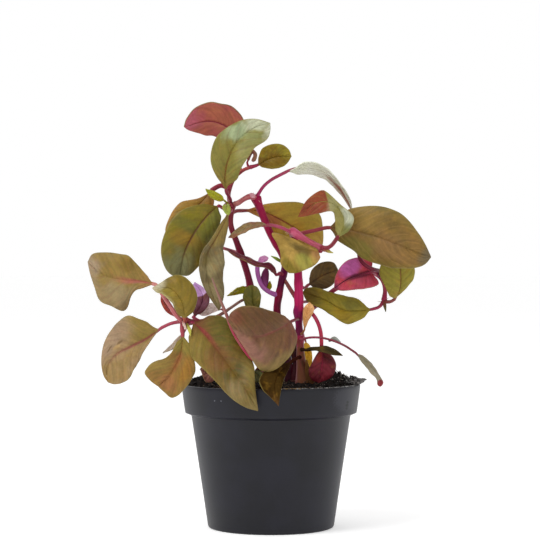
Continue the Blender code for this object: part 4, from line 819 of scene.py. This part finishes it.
def make_leaf(name, axes):
    """A blade with its sunken midrib, lifted vein panels and wavy margin, on its stalk."""
    stem, stalk, midrib, *_ = LEAVES[name]
    form = {**FORM, **FORMS.get(name, {})}
    waves, wave_height = form["waves"]
    veins, vein_lean = form["veins"]
    crease = form["crease"]
    top = -1 if form["under"] else 1

    # The lie of the blade: its frame along the midrib, and which way its upper side faces
    fractions, middle, ones, twos = blade_rows(name)
    tangents = unit(np.gradient(middle, axis=0))
    sides = unit(twos - ones)
    sides[:2], sides[-2:] = sides[2], sides[-3]
    normals = unit(np.cross(sides, tangents))
    quarter = slice(BLADE_ROWS // 5, BLADE_ROWS // 2)
    to_eye = unit(np.array([EYE_ACROSS, -EYE_DISTANCE, EYE_HEIGHT]) * MM - middle)
    if (normals[quarter] * to_eye[quarter]).sum() < 0:
        top = -top

    # Two halves that meet in a rounded fold, and the way each place of them faces
    even = np.linspace(-1, 1, BLADE_COLUMNS + 1)
    u = np.sign(even) * np.abs(even) ** 1.2
    reach = np.abs(u)[None, :, None]
    edge = np.where((u < 0)[None, :, None], ones[:, None], twos[:, None])
    half = np.linalg.norm(edge - middle[:, None], axis=2)
    raised = np.where(reach < crease, (reach ** 2 / crease + crease) / 2, reach)
    fold = (ones + twos) / 2 - middle
    places = middle[:, None] + (twos - ones)[:, None] / 2 * u[None, :, None] + fold[:, None] * raised
    outward = unit(edge - middle[:, None]) * np.where(u < 0, -1, 1)[None, :, None]
    outward[:2], outward[-2:] = outward[2], outward[-3]
    own = unit(np.cross(outward, np.broadcast_to(tangents[:, None], outward.shape)))
    smooth = np.clip(reach * 4, 0, 1)
    face = unit(own * smooth + normals[:, None] * (1 - smooth)) * top

    # The relief: pillowed halves, quilted between the veins, a wavy margin and a sunken midrib
    reach = reach[..., 0]
    along = fractions[:, None]
    bulge = np.sin(math.pi * along) ** 0.5
    lift = form["pillow"] * half * 4 * reach * (1 - reach)
    panels = 0.5 - 0.5 * np.cos(TURN * (veins * (along - vein_lean * reach ** 1.25)))
    lift += QUILT * MM * np.minimum(half / (4 * MM), 1) * bulge * 4 * reach * (1 - reach) * panels
    swing = np.random.default_rng(sum(map(ord, name))).uniform(0, 6.28, 3)
    swing = np.where(u < 0, swing[0], swing[1])[None]
    wave = np.sin(TURN * waves * along + swing) + 0.4 * np.sin(TURN * waves * 2.3 * along + swing * 2)
    lift += wave_height * half * reach ** 2.5 * wave * np.sin(math.pi * along)
    rib = (RIB_WIDTH * (1 - 0.6 * along)) * MM
    lift -= form["rib"] * RIB_DEPTH * MM * np.exp(-(reach * half / rib) ** 2) * bulge
    maps = np.stack(np.broadcast_arrays((u[None] + 1) / 2, along), axis=-1)
    blade = laid_grid(name, places + face * lift[..., None], maps)
    if top < 0:
        turn_faces(blade, outwards=False)
    activate(blade)
    skin = blade.modifiers.new("thickness", "SOLIDIFY")
    skin.thickness = BLADE_THICKNESS * MM
    skin.offset = 0
    skin.use_even_offset = False
    skin.material_offset = 1
    skin.material_offset_rim = 0
    dress(blade, *[leaf_side(name, form, under) for under in (False, True)])
    bpy.ops.object.modifier_apply(modifier=skin.name)

    # The stalk leaves its stem with a flare and runs on under the blade as its midrib
    small = run_of(middle)[-1] < SMALL_BLADE * MM
    radius = form.get("stalk", SMALL_STALK_RADIUS if small else STALK_RADIUS) * MM
    join = axes[stem][nearest_on(axes[stem], seen(*(stalk or midrib)[0]))]
    route = [join[:3]] + [seen(*point) for point in stalk] + [middle[0]]
    route = np.array([(*place, radius) for place in route])
    route = leaving(axes[stem], smooth_curve(route, np.linspace(0, 1, ROUTE_ROWS)))
    route[:, 3] *= 1 + STALK_FLARE * np.exp(-run_of(route) / (FLARE_LENGTH * MM))
    thin = radius * (1 - 0.82 * fractions ** 0.6)
    under = thin * (0.2 + 0.85 * np.clip(fractions / 0.1, 0, 1)) + RIB_DEPTH * MM * bulge[:, 0]
    ribs = np.column_stack([middle + fold * crease / 2 - normals * top * under[:, None], thin])
    rows = np.vstack([route[::8], ribs[2:-3:2]])
    steps = max(8, round(run_of(rows)[-1] / (STALK_ROW * MM)))
    stalk_piece = tube(name + "_stalk", smooth_curve(rows, np.linspace(0, 1, steps + 1)), STALK_SIDES)
    dress(stalk_piece, stalk_finish(name))
    return smoothed(joined([blade, stalk_piece]))


class Wire:
    """One value inside a material: a node's output, with Python's signs for Math nodes."""

    def __init__(self, look, node, output):
        self.look, self.node, self.socket = look, node, node.outputs[output]

    def part(self, output):
        return Wire(self.look, self.node, output)

    def math(self, operation, *values):
        return self.look.node("ShaderNodeMath", {"operation": operation}, values)

    def __add__(self, other):
        return self.math("ADD", self, other)

    def __sub__(self, other):
        return self.math("SUBTRACT", self, other)

    def __rsub__(self, other):
        return self.math("SUBTRACT", other, self)

    def __mul__(self, other):
        return self.math("MULTIPLY", self, other)

    def __truediv__(self, other):
        return self.math("DIVIDE", self, other)

    def __pow__(self, power):
        return self.math("POWER", self, power)

    def __abs__(self):
        return self.math("ABSOLUTE", self)

    __radd__, __rmul__ = __add__, __mul__

    def above(self, low, high):
        """0 below low, 1 above high, and a smooth step between."""
        return self.look.node("ShaderNodeMapRange", {"interpolation_type": "SMOOTHSTEP"},
                              {0: self, 1: low, 2: high})


def paint(code):
    """The linear colour of a six-digit code."""
    parts = [int(code[i:i + 2], 16) / 255 for i in (0, 2, 4)]
    return (*[part / 12.92 if part < 0.04 else ((part + 0.055) / 1.055) ** 2.4 for part in parts], 1)


class Look:
    """A finish made of nodes, with the sockets that are the same all over set on its shader."""

    def __init__(self, name, **constants):
        self.material = bpy.data.materials.new(name)
        self.material.use_nodes = True
        self.tree = self.material.node_tree
        self.shader = self.tree.nodes["Principled BSDF"]
        for socket, value in constants.items():
            self.shader.inputs[socket.replace("_", " ")].default_value = value
        spot = self.node("ShaderNodeTexCoord")
        self.mm = self.scaled(spot.part("Object"), 1000.0)
        self.u = self.node("ShaderNodeSeparateXYZ", {}, [spot.part("UV")])
        self.v = self.u.part(1)

    def node(self, kind, settings=None, values=(), output=0):
        """Any node: its settings are set first, then the values or links of its sockets."""
        node = self.tree.nodes.new(kind)
        for name, value in (settings or {}).items():
            setattr(node, name, value)
        for name, value in (values.items() if isinstance(values, dict) else enumerate(values)):
            if isinstance(value, Wire):
                self.tree.links.new(value.socket, node.inputs[name])
            else:
                node.inputs[name].default_value = value
        return Wire(self, node, output)

    def mix(self, first, second, factor):
        """A colour between two colours."""
        first, second = (paint(c) if isinstance(c, str) else c for c in (first, second))
        return self.node("ShaderNodeMix", {"data_type": "RGBA"}, {0: factor, 6: first, 7: second}, 2)

    def scaled(self, values, times):
        """A place or colour multiplied by a value."""
        return self.node("ShaderNodeVectorMath", {"operation": "SCALE"}, {0: values, 3: times})

    def noise(self, per_mm, detail, at=None):
        """A cloudy value from 0 to 1, with so many clouds in a millimetre."""
        values = {"Vector": at or self.mm, "Scale": per_mm, "Detail": detail}
        return self.node("ShaderNodeTexNoise", {}, values)

    def stretched(self, x, y, z):
        """A place made from three values."""
        return self.node("ShaderNodeCombineXYZ", {}, [x, y, z])

    def set(self, colour, roughness, height=None, depth=0.0, strength=0.0):
        """The finished material: its colour, roughness and relief, with the relief's depth in mm."""
        links = {"Base Color": colour, "Roughness": roughness}
        if height is not None:
            values = {"Height": height, "Distance": depth * MM, "Strength": strength}
            links["Normal"] = self.node("ShaderNodeBump", {}, values)
        for socket, wire in links.items():
            self.tree.links.new(wire.socket, self.shader.inputs[socket])
        return self.material


def tint_of(name):
    """The colours of a leaf, which are an ordinary leaf's where it has none of its own."""
    own = TINTS.get(name, {})
    sides = dict.fromkeys(("base", "under"), own["both"]) if "both" in own else {}
    return {**TINT, **sides, **own}


def leaf_side(name, form, under):
    """One side of a leaf: mottled, with its ribs, veins, margin, base blush and its own marks, some of which
    are painted sheen, highlight or shade.
    """
    tint = tint_of(name)
    look = Look(name + ("_lower" if under else "_upper"), Specular_IOR_Level=tint["shine"])
    u, v = look.u, look.v
    out = abs(u * 2 - 1)
    wander = look.noise(0.25, 2.0)
    cloud = look.noise(0.16, 3.0)
    grain = look.noise(1.6, 3.0)
    patches = look.noise(0.42, 3.0)

    base, second = tint["under" if under else "base"]
    colour = look.mix(base, second, cloud.above(0.38, 0.62))
    colour = look.mix(colour, tint["patch"], patches.above(0.5, 0.72) * 0.3)
    colour = look.mix(colour, tint.get("margin", second), out.above(0.62, 1.05) * tint["margin_part"])
    foot = 1 - v.above(0.0, 0.3)
    colour = look.mix(colour, tint.get("blush", tint["rib"]), foot * tint["blush_part"])
    if "beyond" in tint:
        start, slant, near, far = tint["beyond"]
        start -= 0.5 * slant
        turned = (v - u * slant).above(start - 0.012, start + 0.012)
        colour = look.mix(colour, look.mix(near, far, cloud.above(0.38, 0.62)), turned)
    for across, along, width, length, code, part, *lower in tint["marks"]:
        if bool(lower) == under:
            away = (((u - across) / width) ** 2 + ((v - along) / length) ** 2) ** 0.5
            colour = look.mix(colour, code, (1 - (away + (wander - 0.5) * 1.1).above(0.45, 1.15)) * part)

    veins, lean = form["veins"]
    phase = (v - out ** 1.25 * lean) * veins + (wander - 0.5) * 0.5
    gap = phase.math("PINGPONG", phase, 0.5) * 2
    half = u.above(0.49, 0.51) * 9
    streaks = look.noise(1.0, 3.0, look.stretched(phase * 3.4, out * 1.3, half + v))
    line = (1 - gap.above(0.0, 0.2)) * (1 - out.above(0.8, 1.0))
    cells = look.node("ShaderNodeTexVoronoi", {"feature": "DISTANCE_TO_EDGE"},
                      {"Vector": look.mm, "Scale": 0.75})
    net = 1 - cells.above(0.0, 0.16)
    colour = look.mix(colour, tint.get("vein", tint["rib"]), line * tint["vein_part"] + net * 0.06)

    width = tint["rib_width"]
    narrow = out * (v.above(-0.1, 0.45) * 0.55 + 0.45)
    rib = 1 - (narrow + (wander - 0.5) * 0.02).above(0.02 * width, 0.075 * width)
    fade = 1 - v.above(*tint["rib_fade"])
    colour = look.mix(colour, tint["rib"], rib * fade * tint["rib_part"])
    colour = look.mix(colour, tint["rim"], out.above(0.93, 1.0) * tint["rim_part"])
    colour = look.scaled(colour, grain * 0.4 + streaks * 0.84 + patches * 0.36 + 0.24)
    roughness = cloud * 0.2 + grain * 0.12 + (0.5 if under else 0.36)
    ridge = form["rib"] * (-0.8 if under else 0.5)
    height = gap ** 0.5 * 0.5 + grain * 0.22 + streaks * 0.3 - rib * ridge - net * 0.1
    return look.set(colour, roughness, height, 0.22, 0.6)


def streaked(name, near, far, second, blend=(0.3, 0.7), bands=(), gloss=0.34, shine=0.18):
    """A stem or stalk: one colour at its foot, another at its end, with bands and lengthwise streaks; on
    some stems and stalks the pale streaks are painted highlights.
    """
    look = Look(name, Specular_IOR_Level=shine)
    wander = look.noise(0.3, 2.0)
    colour = look.mix(near, far, (look.v + (wander - 0.5) * 0.4).above(*blend))
    for middle, reach, code in bands:
        away = abs(look.v + (wander - 0.5) * 0.12 - middle)
        colour = look.mix(colour, code, (1 - away.above(0.6 * reach, 1.3 * reach)) * 0.9)
    streak = look.noise(1.0, 2.0, look.stretched(look.u * 9, look.v * 5, look.v * 2))
    fine = look.noise(1.0, 2.0, look.stretched(look.u * 34, look.v * 16, wander))
    colour = look.mix(colour, second, streak.above(0.45, 0.72) * 0.55)
    colour = look.scaled(colour, fine * 0.4 + 0.8)
    return look.set(colour, fine * 0.16 + gloss - 0.05, streak * 0.6 + fine * 0.5, 0.12, 0.6)


def stalk_finish(name):
    tint = tint_of(name)
    return streaked(name + "_stalk", *tint["stalk"], (0.1, 0.6), shine=min(0.18, tint["shine"]))


def plain(name, code, second, roughness=0.85, per_mm=1.2):
    """A matt finish clouded between two colours."""
    look = Look(name, Specular_IOR_Level=0.25)
    cloud = look.noise(per_mm, 3.0)
    return look.set(look.mix(code, second, cloud.above(0.38, 0.62)), cloud * 0.1 + roughness - 0.05)


def make_pot():
    """The thin moulded pot: its profile is drawn up the outside, over the lip and down the inside."""
    rim, foot = RIM_DIAMETER / 2, COLLAR_FOOT_DIAMETER / 2
    wall, base = WALL_TOP_DIAMETER / 2, BASE_DIAMETER / 2
    profile = [
        (base - 4, 0.5), (base - 3.2, 0), (base - 0.7, 0), (base - 0.2, 0.25), (base, 0.8),
        (base + (wall - base) * 0.35, 12.8), (base + (wall - base) * 0.7, 24.8),
        (wall - 0.1, COLLAR_FOOT - 1.0), (wall + 0.1, COLLAR_FOOT - 0.6),
        (foot - 0.5, COLLAR_FOOT - 0.05), (foot - 0.1, COLLAR_FOOT + 0.1), (foot, COLLAR_FOOT + 0.5),
        (foot + 0.12, COLLAR_FOOT + 1.2), (rim - 0.12, POT_HEIGHT - 2.0), (rim - 0.02, POT_HEIGHT - 0.9),
        (rim, POT_HEIGHT - 0.45), (rim - 0.1, POT_HEIGHT - 0.15), (rim - 0.35, POT_HEIGHT),
        (rim - 0.65, POT_HEIGHT), (rim - 0.9, POT_HEIGHT - 0.15), (rim - WALL, POT_HEIGHT - 0.45),
        (foot - WALL, COLLAR_FOOT + 1.0), (wall - WALL, COLLAR_FOOT - 0.2),
        (base - 0.9, FLOOR + 0.3), (base - 1.2, FLOOR),
    ]
    bpy.ops.mesh.primitive_circle_add(vertices=POT_SIDES, radius=profile[0][0] * MM, fill_type="NGON",
                                      location=(0, 0, profile[0][1] * MM))
    pot = bpy.context.object
    name_piece(pot, "pot_moulded")
    bpy.ops.object.transform_apply(location=True)
    bpy.ops.object.mode_set(mode="EDIT")
    bpy.ops.mesh.select_mode(type="EDGE")
    bpy.ops.mesh.select_all(action="SELECT")
    for (radius, height), (wider, higher) in zip(profile, profile[1:]):
        bpy.ops.mesh.extrude_edges_move(TRANSFORM_OT_translate={"value": (0, 0, (higher - height) * MM)})
        ratio = wider / radius
        bpy.ops.transform.resize(value=(ratio, ratio, 1), center_override=(0, 0, 0))
    bpy.ops.mesh.edge_face_add()
    bpy.ops.object.mode_set(mode="OBJECT")
    turn_faces(pot)
    bpy.ops.object.shade_smooth_by_angle(angle=math.radians(EDGE_ANGLE))
    dress(pot, pot_finish())
    return pot


def pot_finish():
    """Dark grey moulded plastic, a little dusty, with a few specks and a scuff."""
    look = Look("pot_plastic", Specular_IOR_Level=0.3)
    dust = look.noise(0.08, 4.0)
    fine = look.noise(3.0, 2.0)
    colour = look.mix("0b0b14", "14141f", dust.above(0.35, 0.7))
    place = look.node("ShaderNodeSeparateXYZ", {}, [look.mm])
    for *middle, radius, code in POT_SPECKS:
        x, _, z = (1000 * value for value in seen(*middle))
        away = ((place - x) ** 2 + (place.part(2) - z) ** 2) ** 0.5 + place.part(1).above(-8, -4) * 9
        colour = look.mix(colour, code, 1 - (away + (fine - 0.5) * radius).above(0.6 * radius, radius))
    return look.set(colour, dust * 0.14 + fine * 0.08 + 0.34, fine, 0.03, 0.5)


def soil_finish():
    """Dark peat in coarse lumps, with paler flecks."""
    look = Look("soil_peat", Specular_IOR_Level=0.2)
    coarse = look.noise(0.9, 3.0)
    fine = look.noise(4.0, 3.0)
    colour = look.mix("0a0605", "191009", coarse.above(0.35, 0.7))
    colour = look.mix(colour, "544236", fine.above(0.66, 0.8) * 0.5)
    return look.set(colour, coarse * 0.1 + 0.86, coarse + fine * 0.5, 0.5, 0.9)


def soil_height(x, y):
    """The height of the soil's top at a place: heaps and lumps on a low dome, in millimetres."""
    out = np.hypot(x, y)
    heaps = sum(height * np.exp(-((x - across) ** 2 + (y - back) ** 2) / spread)
                for across, back, height, spread in SOIL_HEAPS)
    low = 0.35 * np.sin(0.55 * x + 1) * np.cos(0.6 * y) + 0.25 * np.sin(0.9 * y - 0.7 * x)
    small = 0.22 * np.sin(2.1 * x + 0.7 * y) * np.cos(1.7 * y - 1.1 * x) + 0.16 * np.sin(3.7 * x - 2.9 * y)
    fade = np.clip((RIM_DIAMETER / 2 - out) / 2, 0, 1)
    return SOIL_MIDDLE - SOIL_FALL * out ** 2 + (heaps + low + small) * fade


def make_soil():
    """The plug of soil: its top in fine lumps, its sides a gap inside the pot's wall."""
    side_outs, side_heights = zip(*SOIL_SIDE)
    outs = np.concatenate((np.linspace(0, RIM_DIAMETER / 2 - SOIL_GAP, SOIL_ROWS), side_outs))
    turns = np.linspace(0, TURN, SOIL_SIDES + 1)
    x, y = np.outer(outs, np.cos(turns)), np.outer(outs, np.sin(turns))
    heights = soil_height(x, y)
    heights[-len(SOIL_SIDE):] = np.array(side_heights)[:, None]
    maps = np.stack(np.meshgrid(np.linspace(0, 1, len(turns)), np.linspace(0, 1, len(outs))), axis=-1)
    soil = laid_grid("soil_plug", np.stack((x, y, heights), axis=-1) * MM, maps)
    turn_faces(soil)
    dress(soil, soil_finish())
    return smoothed(soil)


def add(piece):
    """A piece of the scene alone, in the part's frame."""
    piece.data.name = piece.name
    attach(piece, "root")


def lumps(name, places, sizes, finish, seed, flat=0.75):
    """Loose lumps at many places, each a rough low ball with its own size and turn, as one mesh."""
    random = np.random.default_rng(seed)
    bpy.ops.mesh.primitive_ico_sphere_add(subdivisions=1, radius=1)
    ball = bpy.context.object
    corners = np.array([vertex.co[:] for vertex in ball.data.vertices])
    faces = np.array([face.vertices[:] for face in ball.data.polygons])
    bpy.data.objects.remove(ball)
    count = len(places)
    turned = np.linalg.qr(random.normal(size=(count, 3, 3)))[0]
    turned *= np.sign(np.linalg.det(turned))[:, None, None]
    stretch = random.uniform(0.6, 1.25, (count, 1, 3)) * random.uniform(0.75, 1.2, (count, len(corners), 1))
    shaped = np.einsum("nij,nkj->nki", turned, corners * stretch) * sizes[:, None, None]
    shaped[..., 2] *= flat
    points = (places[:, None] + shaped) * MM
    shells = faces[None] + (np.arange(count) * len(corners))[:, None, None]
    mesh = bpy.data.meshes.new(name)
    mesh.from_pydata(points.reshape(-1, 3).tolist(), [], shells.reshape(-1, 3).tolist())
    piece = bpy.data.objects.new(name, mesh)
    bpy.context.scene.collection.objects.link(piece)
    dress(piece, finish)
    add(piece)


def on_soil(random, count, middle=(0, 0), spread=None, limit=SOIL_LIMIT):
    """Places on the soil's top: all over it, or round a middle."""
    places = []
    while len(places) < count:
        x, y = random.normal(middle, spread) if spread else random.uniform(-limit, limit, 2)
        if np.hypot(x, y) < limit:
            places.append((x, y, float(soil_height(x, y))))
    return np.array(places)


def on_rim(turns, outs, heights):
    """Places round the pot's rim."""
    return np.column_stack([outs * np.cos(turns), outs * np.sin(turns), heights])


def make_crumbs():
    """The soil's loose crumbs and pale grit, the crust over the rim, and the scraps and dust on it."""
    random = np.random.default_rng(5)
    places = on_soil(random, CRUMBS)
    sizes = random.uniform(0.3, 0.55, CRUMBS) * random.choice([0.7, 1, 1.7], CRUMBS, p=[0.4, 0.45, 0.15])
    lumps("soil_crumbs", places, sizes, soil_finish(), 6)

    places = np.vstack([on_soil(random, HEAP_GRIT, (21, 6), (3.5, 5.0)), on_soil(random, GRIT)])
    places[:, 2] += 0.45
    sizes = random.uniform(0.1, 0.2, len(places))
    lumps("soil_grit", places, sizes, plain("grit_pale", "a49c90", "78706a"), 7)

    # The crust reaches furthest out, and highest, a little behind the middle of the right side
    turns = np.radians(random.uniform(-18, 34, CRUST))
    tip = np.exp(-((turns - 0.06) / 0.12) ** 2)
    outs = random.uniform(24.2, 28.0, CRUST) + 1.5 * tip
    rise = random.uniform(0, 1.5, CRUST) * np.clip((28.6 - outs) / 4, 0.1, 1)
    places = on_rim(turns, outs, POT_HEIGHT + 0.35 + rise + 0.9 * tip)
    sizes = random.uniform(0.2, 0.5, CRUST)
    lumps("rim_crust", places, sizes, plain("crust_grey", "141110", "74706e", per_mm=0.9), 8)

    x = random.uniform(3.4, 8.8, SCRAPS)
    outs = random.uniform(25.9, 27.3, SCRAPS)
    places = np.column_stack([x, -np.sqrt(outs ** 2 - x ** 2), np.full(SCRAPS, POT_HEIGHT + 0.15)])
    sizes = random.uniform(0.18, 0.5, SCRAPS)
    lumps("rim_scraps", places, sizes, plain("scraps_tan", "8c7454", "5c4830"), 9, 0.4)

    turns = np.radians(random.uniform(-84, -14, DUST))
    places = on_rim(turns, random.uniform(26.5, 27.35, DUST), np.full(DUST, POT_HEIGHT + 0.1))
    sizes = random.uniform(0.12, 0.3, DUST)
    lumps("rim_dust", places, sizes, plain("dust_grey", "3a3838", "8a8886"), 10, 0.6)


def make_fibres():
    """Thin roots and fibres that lie on the soil."""
    random = np.random.default_rng(12)
    finish = plain("fibre_brown", "6c5844", "3c2c20")
    steps = np.linspace(0, 1, FIBRE_ROWS)
    pieces = []
    for _ in range(FIBRES):
        x, y, _ = on_soil(random, 1, limit=FIBRE_START)[0]
        heading, bend = random.uniform(0, 6.28), random.uniform(-0.5, 0.5)
        length = random.uniform(2.5, 7)
        turning = heading + bend * steps * 3
        xs = x + np.cumsum(np.cos(turning)) * length / FIBRE_ROWS
        ys = y + np.cumsum(np.sin(turning)) * length / FIBRE_ROWS
        inside = np.minimum(1, FIBRE_LIMIT / np.maximum(np.hypot(xs, ys), 1))
        xs, ys = xs * inside, ys * inside
        zs = soil_height(xs, ys) + 0.35 + 0.5 * np.sin(math.pi * steps) * random.uniform(0.3, 1)
        radii = np.full(FIBRE_ROWS, random.uniform(0.05, 0.11))
        pieces.append(tube("soil_fibres", np.column_stack([xs, ys, zs, radii]) * MM, THREAD_SIDES))
    fibres = joined(pieces)
    dress(fibres, finish)
    add(fibres)


def make_buds():
    """The buds, stipules, sheaths and the small twig at the stems' nodes, each a flattened spindle; one
    near-black sheath between the feet of the stems is painted shade.
    """
    for name, (code, second, points) in BUDS.items():
        rows = np.array([(*seen(*place), radius * MM) for *place, radius in points])
        bud = tube(name, smooth_curve(rows, np.linspace(0, 1, 17)), 16,
                   lambda turns, i: 1 - 0.22 * np.abs(np.sin(turns)) + 0.04 * np.cos(5 * turns))
        dress(bud, streaked(name + "_skin", code, second, second, (0.2, 0.7), gloss=0.45, shine=0.06))
        add(bud)


def make_hairs():
    """Short pale hairs round the nodes of the stems."""
    random = np.random.default_rng(21)
    finish = plain("hair_pale", "d8b8b0", "c8a090", 0.6)
    radii = np.array([0.07, 0.06, 0.05, 0.03]) * MM
    pieces = []
    for node in HAIRY_NODES:
        middle = seen(*node)
        for _ in range(NODE_HAIRS):
            way = unit(random.normal(size=3) * (1, 1, 0.7))
            bend = random.normal(size=3) * 0.25
            rows = [middle + (way * (0.55 + t * 1.5) + bend * t * t) * MM for t in (0, 0.35, 0.7, 1)]
            pieces.append(tube("node_hairs", np.column_stack([rows, radii]), THREAD_SIDES))
    hairs = joined(pieces)
    dress(hairs, finish)
    add(hairs)


def show(piece, node):
    """A piece that takes the place of its plain form in the part."""
    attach(piece, "root")
    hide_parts(node)


axes = stem_axes()
show(make_pot(), "pot")
show(make_soil(), "soil")
for name in STEMS:
    stem = make_stem(name, axes)
    name_piece(stem, name + "_grown")
    dress(stem, streaked(name + "_skin", *STEM_TINTS[name]))
    show(stem, name)
for name in LEAVES:
    leaf = make_leaf(name, axes)
    name_piece(leaf, name + "_grown")
    show(leaf, name)

make_crumbs()
make_fibres()
make_buds()
make_hairs()

# The pale ground that the plant stands on
bpy.ops.mesh.primitive_plane_add(size=40)
ground = bpy.context.object
ground.name = "ground"
dress(ground, Look("ground_pale", Base_Color=(0.9, 0.9, 0.9, 1), Roughness=0.9,
                   Emission_Color=(1, 1, 1, 1), Emission_Strength=0.34).material)


def lamp(name, place, size, watts):
    """A soft lamp at a place in metres that faces the middle of the plant."""
    bpy.ops.object.light_add(type="AREA", location=place)
    light = bpy.context.object
    light.name = name
    light.data.shape = "DISK"
    light.data.size = size
    light.data.energy = watts
    light.rotation_euler = (Vector((0, 0, 0.07)) - Vector(place)).to_track_quat("-Z", "Y").to_euler()


lamp("lamp_left", (-0.45, -0.35, 0.65), 0.45, 3.6)
lamp("lamp_right", (0.6, -0.5, 0.4), 0.6, 1.2)

# A white sky that is half as bright behind the viewer as behind the plant
world = bpy.data.worlds.new("studio")
bpy.context.scene.world = world
world.use_nodes = True
tree = world.node_tree
spot = tree.nodes.new("ShaderNodeTexCoord")
split = tree.nodes.new("ShaderNodeSeparateXYZ")
tree.links.new(spot.outputs["Generated"], split.inputs[0])
glow = tree.nodes.new("ShaderNodeMapRange")
glow.interpolation_type = "SMOOTHSTEP"
for socket, value in zip(glow.inputs[1:5], (-0.4, 0.7, 0.5, 1.0)):
    socket.default_value = value
tree.links.new(split.outputs[1], glow.inputs[0])
tree.nodes["Background"].inputs["Color"].default_value = (1, 1, 1, 1)
tree.links.new(glow.outputs[0], tree.nodes["Background"].inputs["Strength"])

camera = bpy.data.cameras.new("camera")
camera.sensor_width = SENSOR_WIDTH
camera.lens = SENSOR_WIDTH * EYE_DISTANCE / (VIEW_WIDTH * MM_PER_UNIT)
camera.clip_start = 0.01
eye = bpy.data.objects.new("camera", camera)
bpy.context.scene.collection.objects.link(eye)
eye.location = (EYE_ACROSS * MM, -EYE_DISTANCE * MM, EYE_HEIGHT * MM)
eye.rotation_euler = (math.pi / 2, 0, 0)
bpy.context.scene.camera = eye
bpy.context.scene.view_settings.view_transform = "Standard"
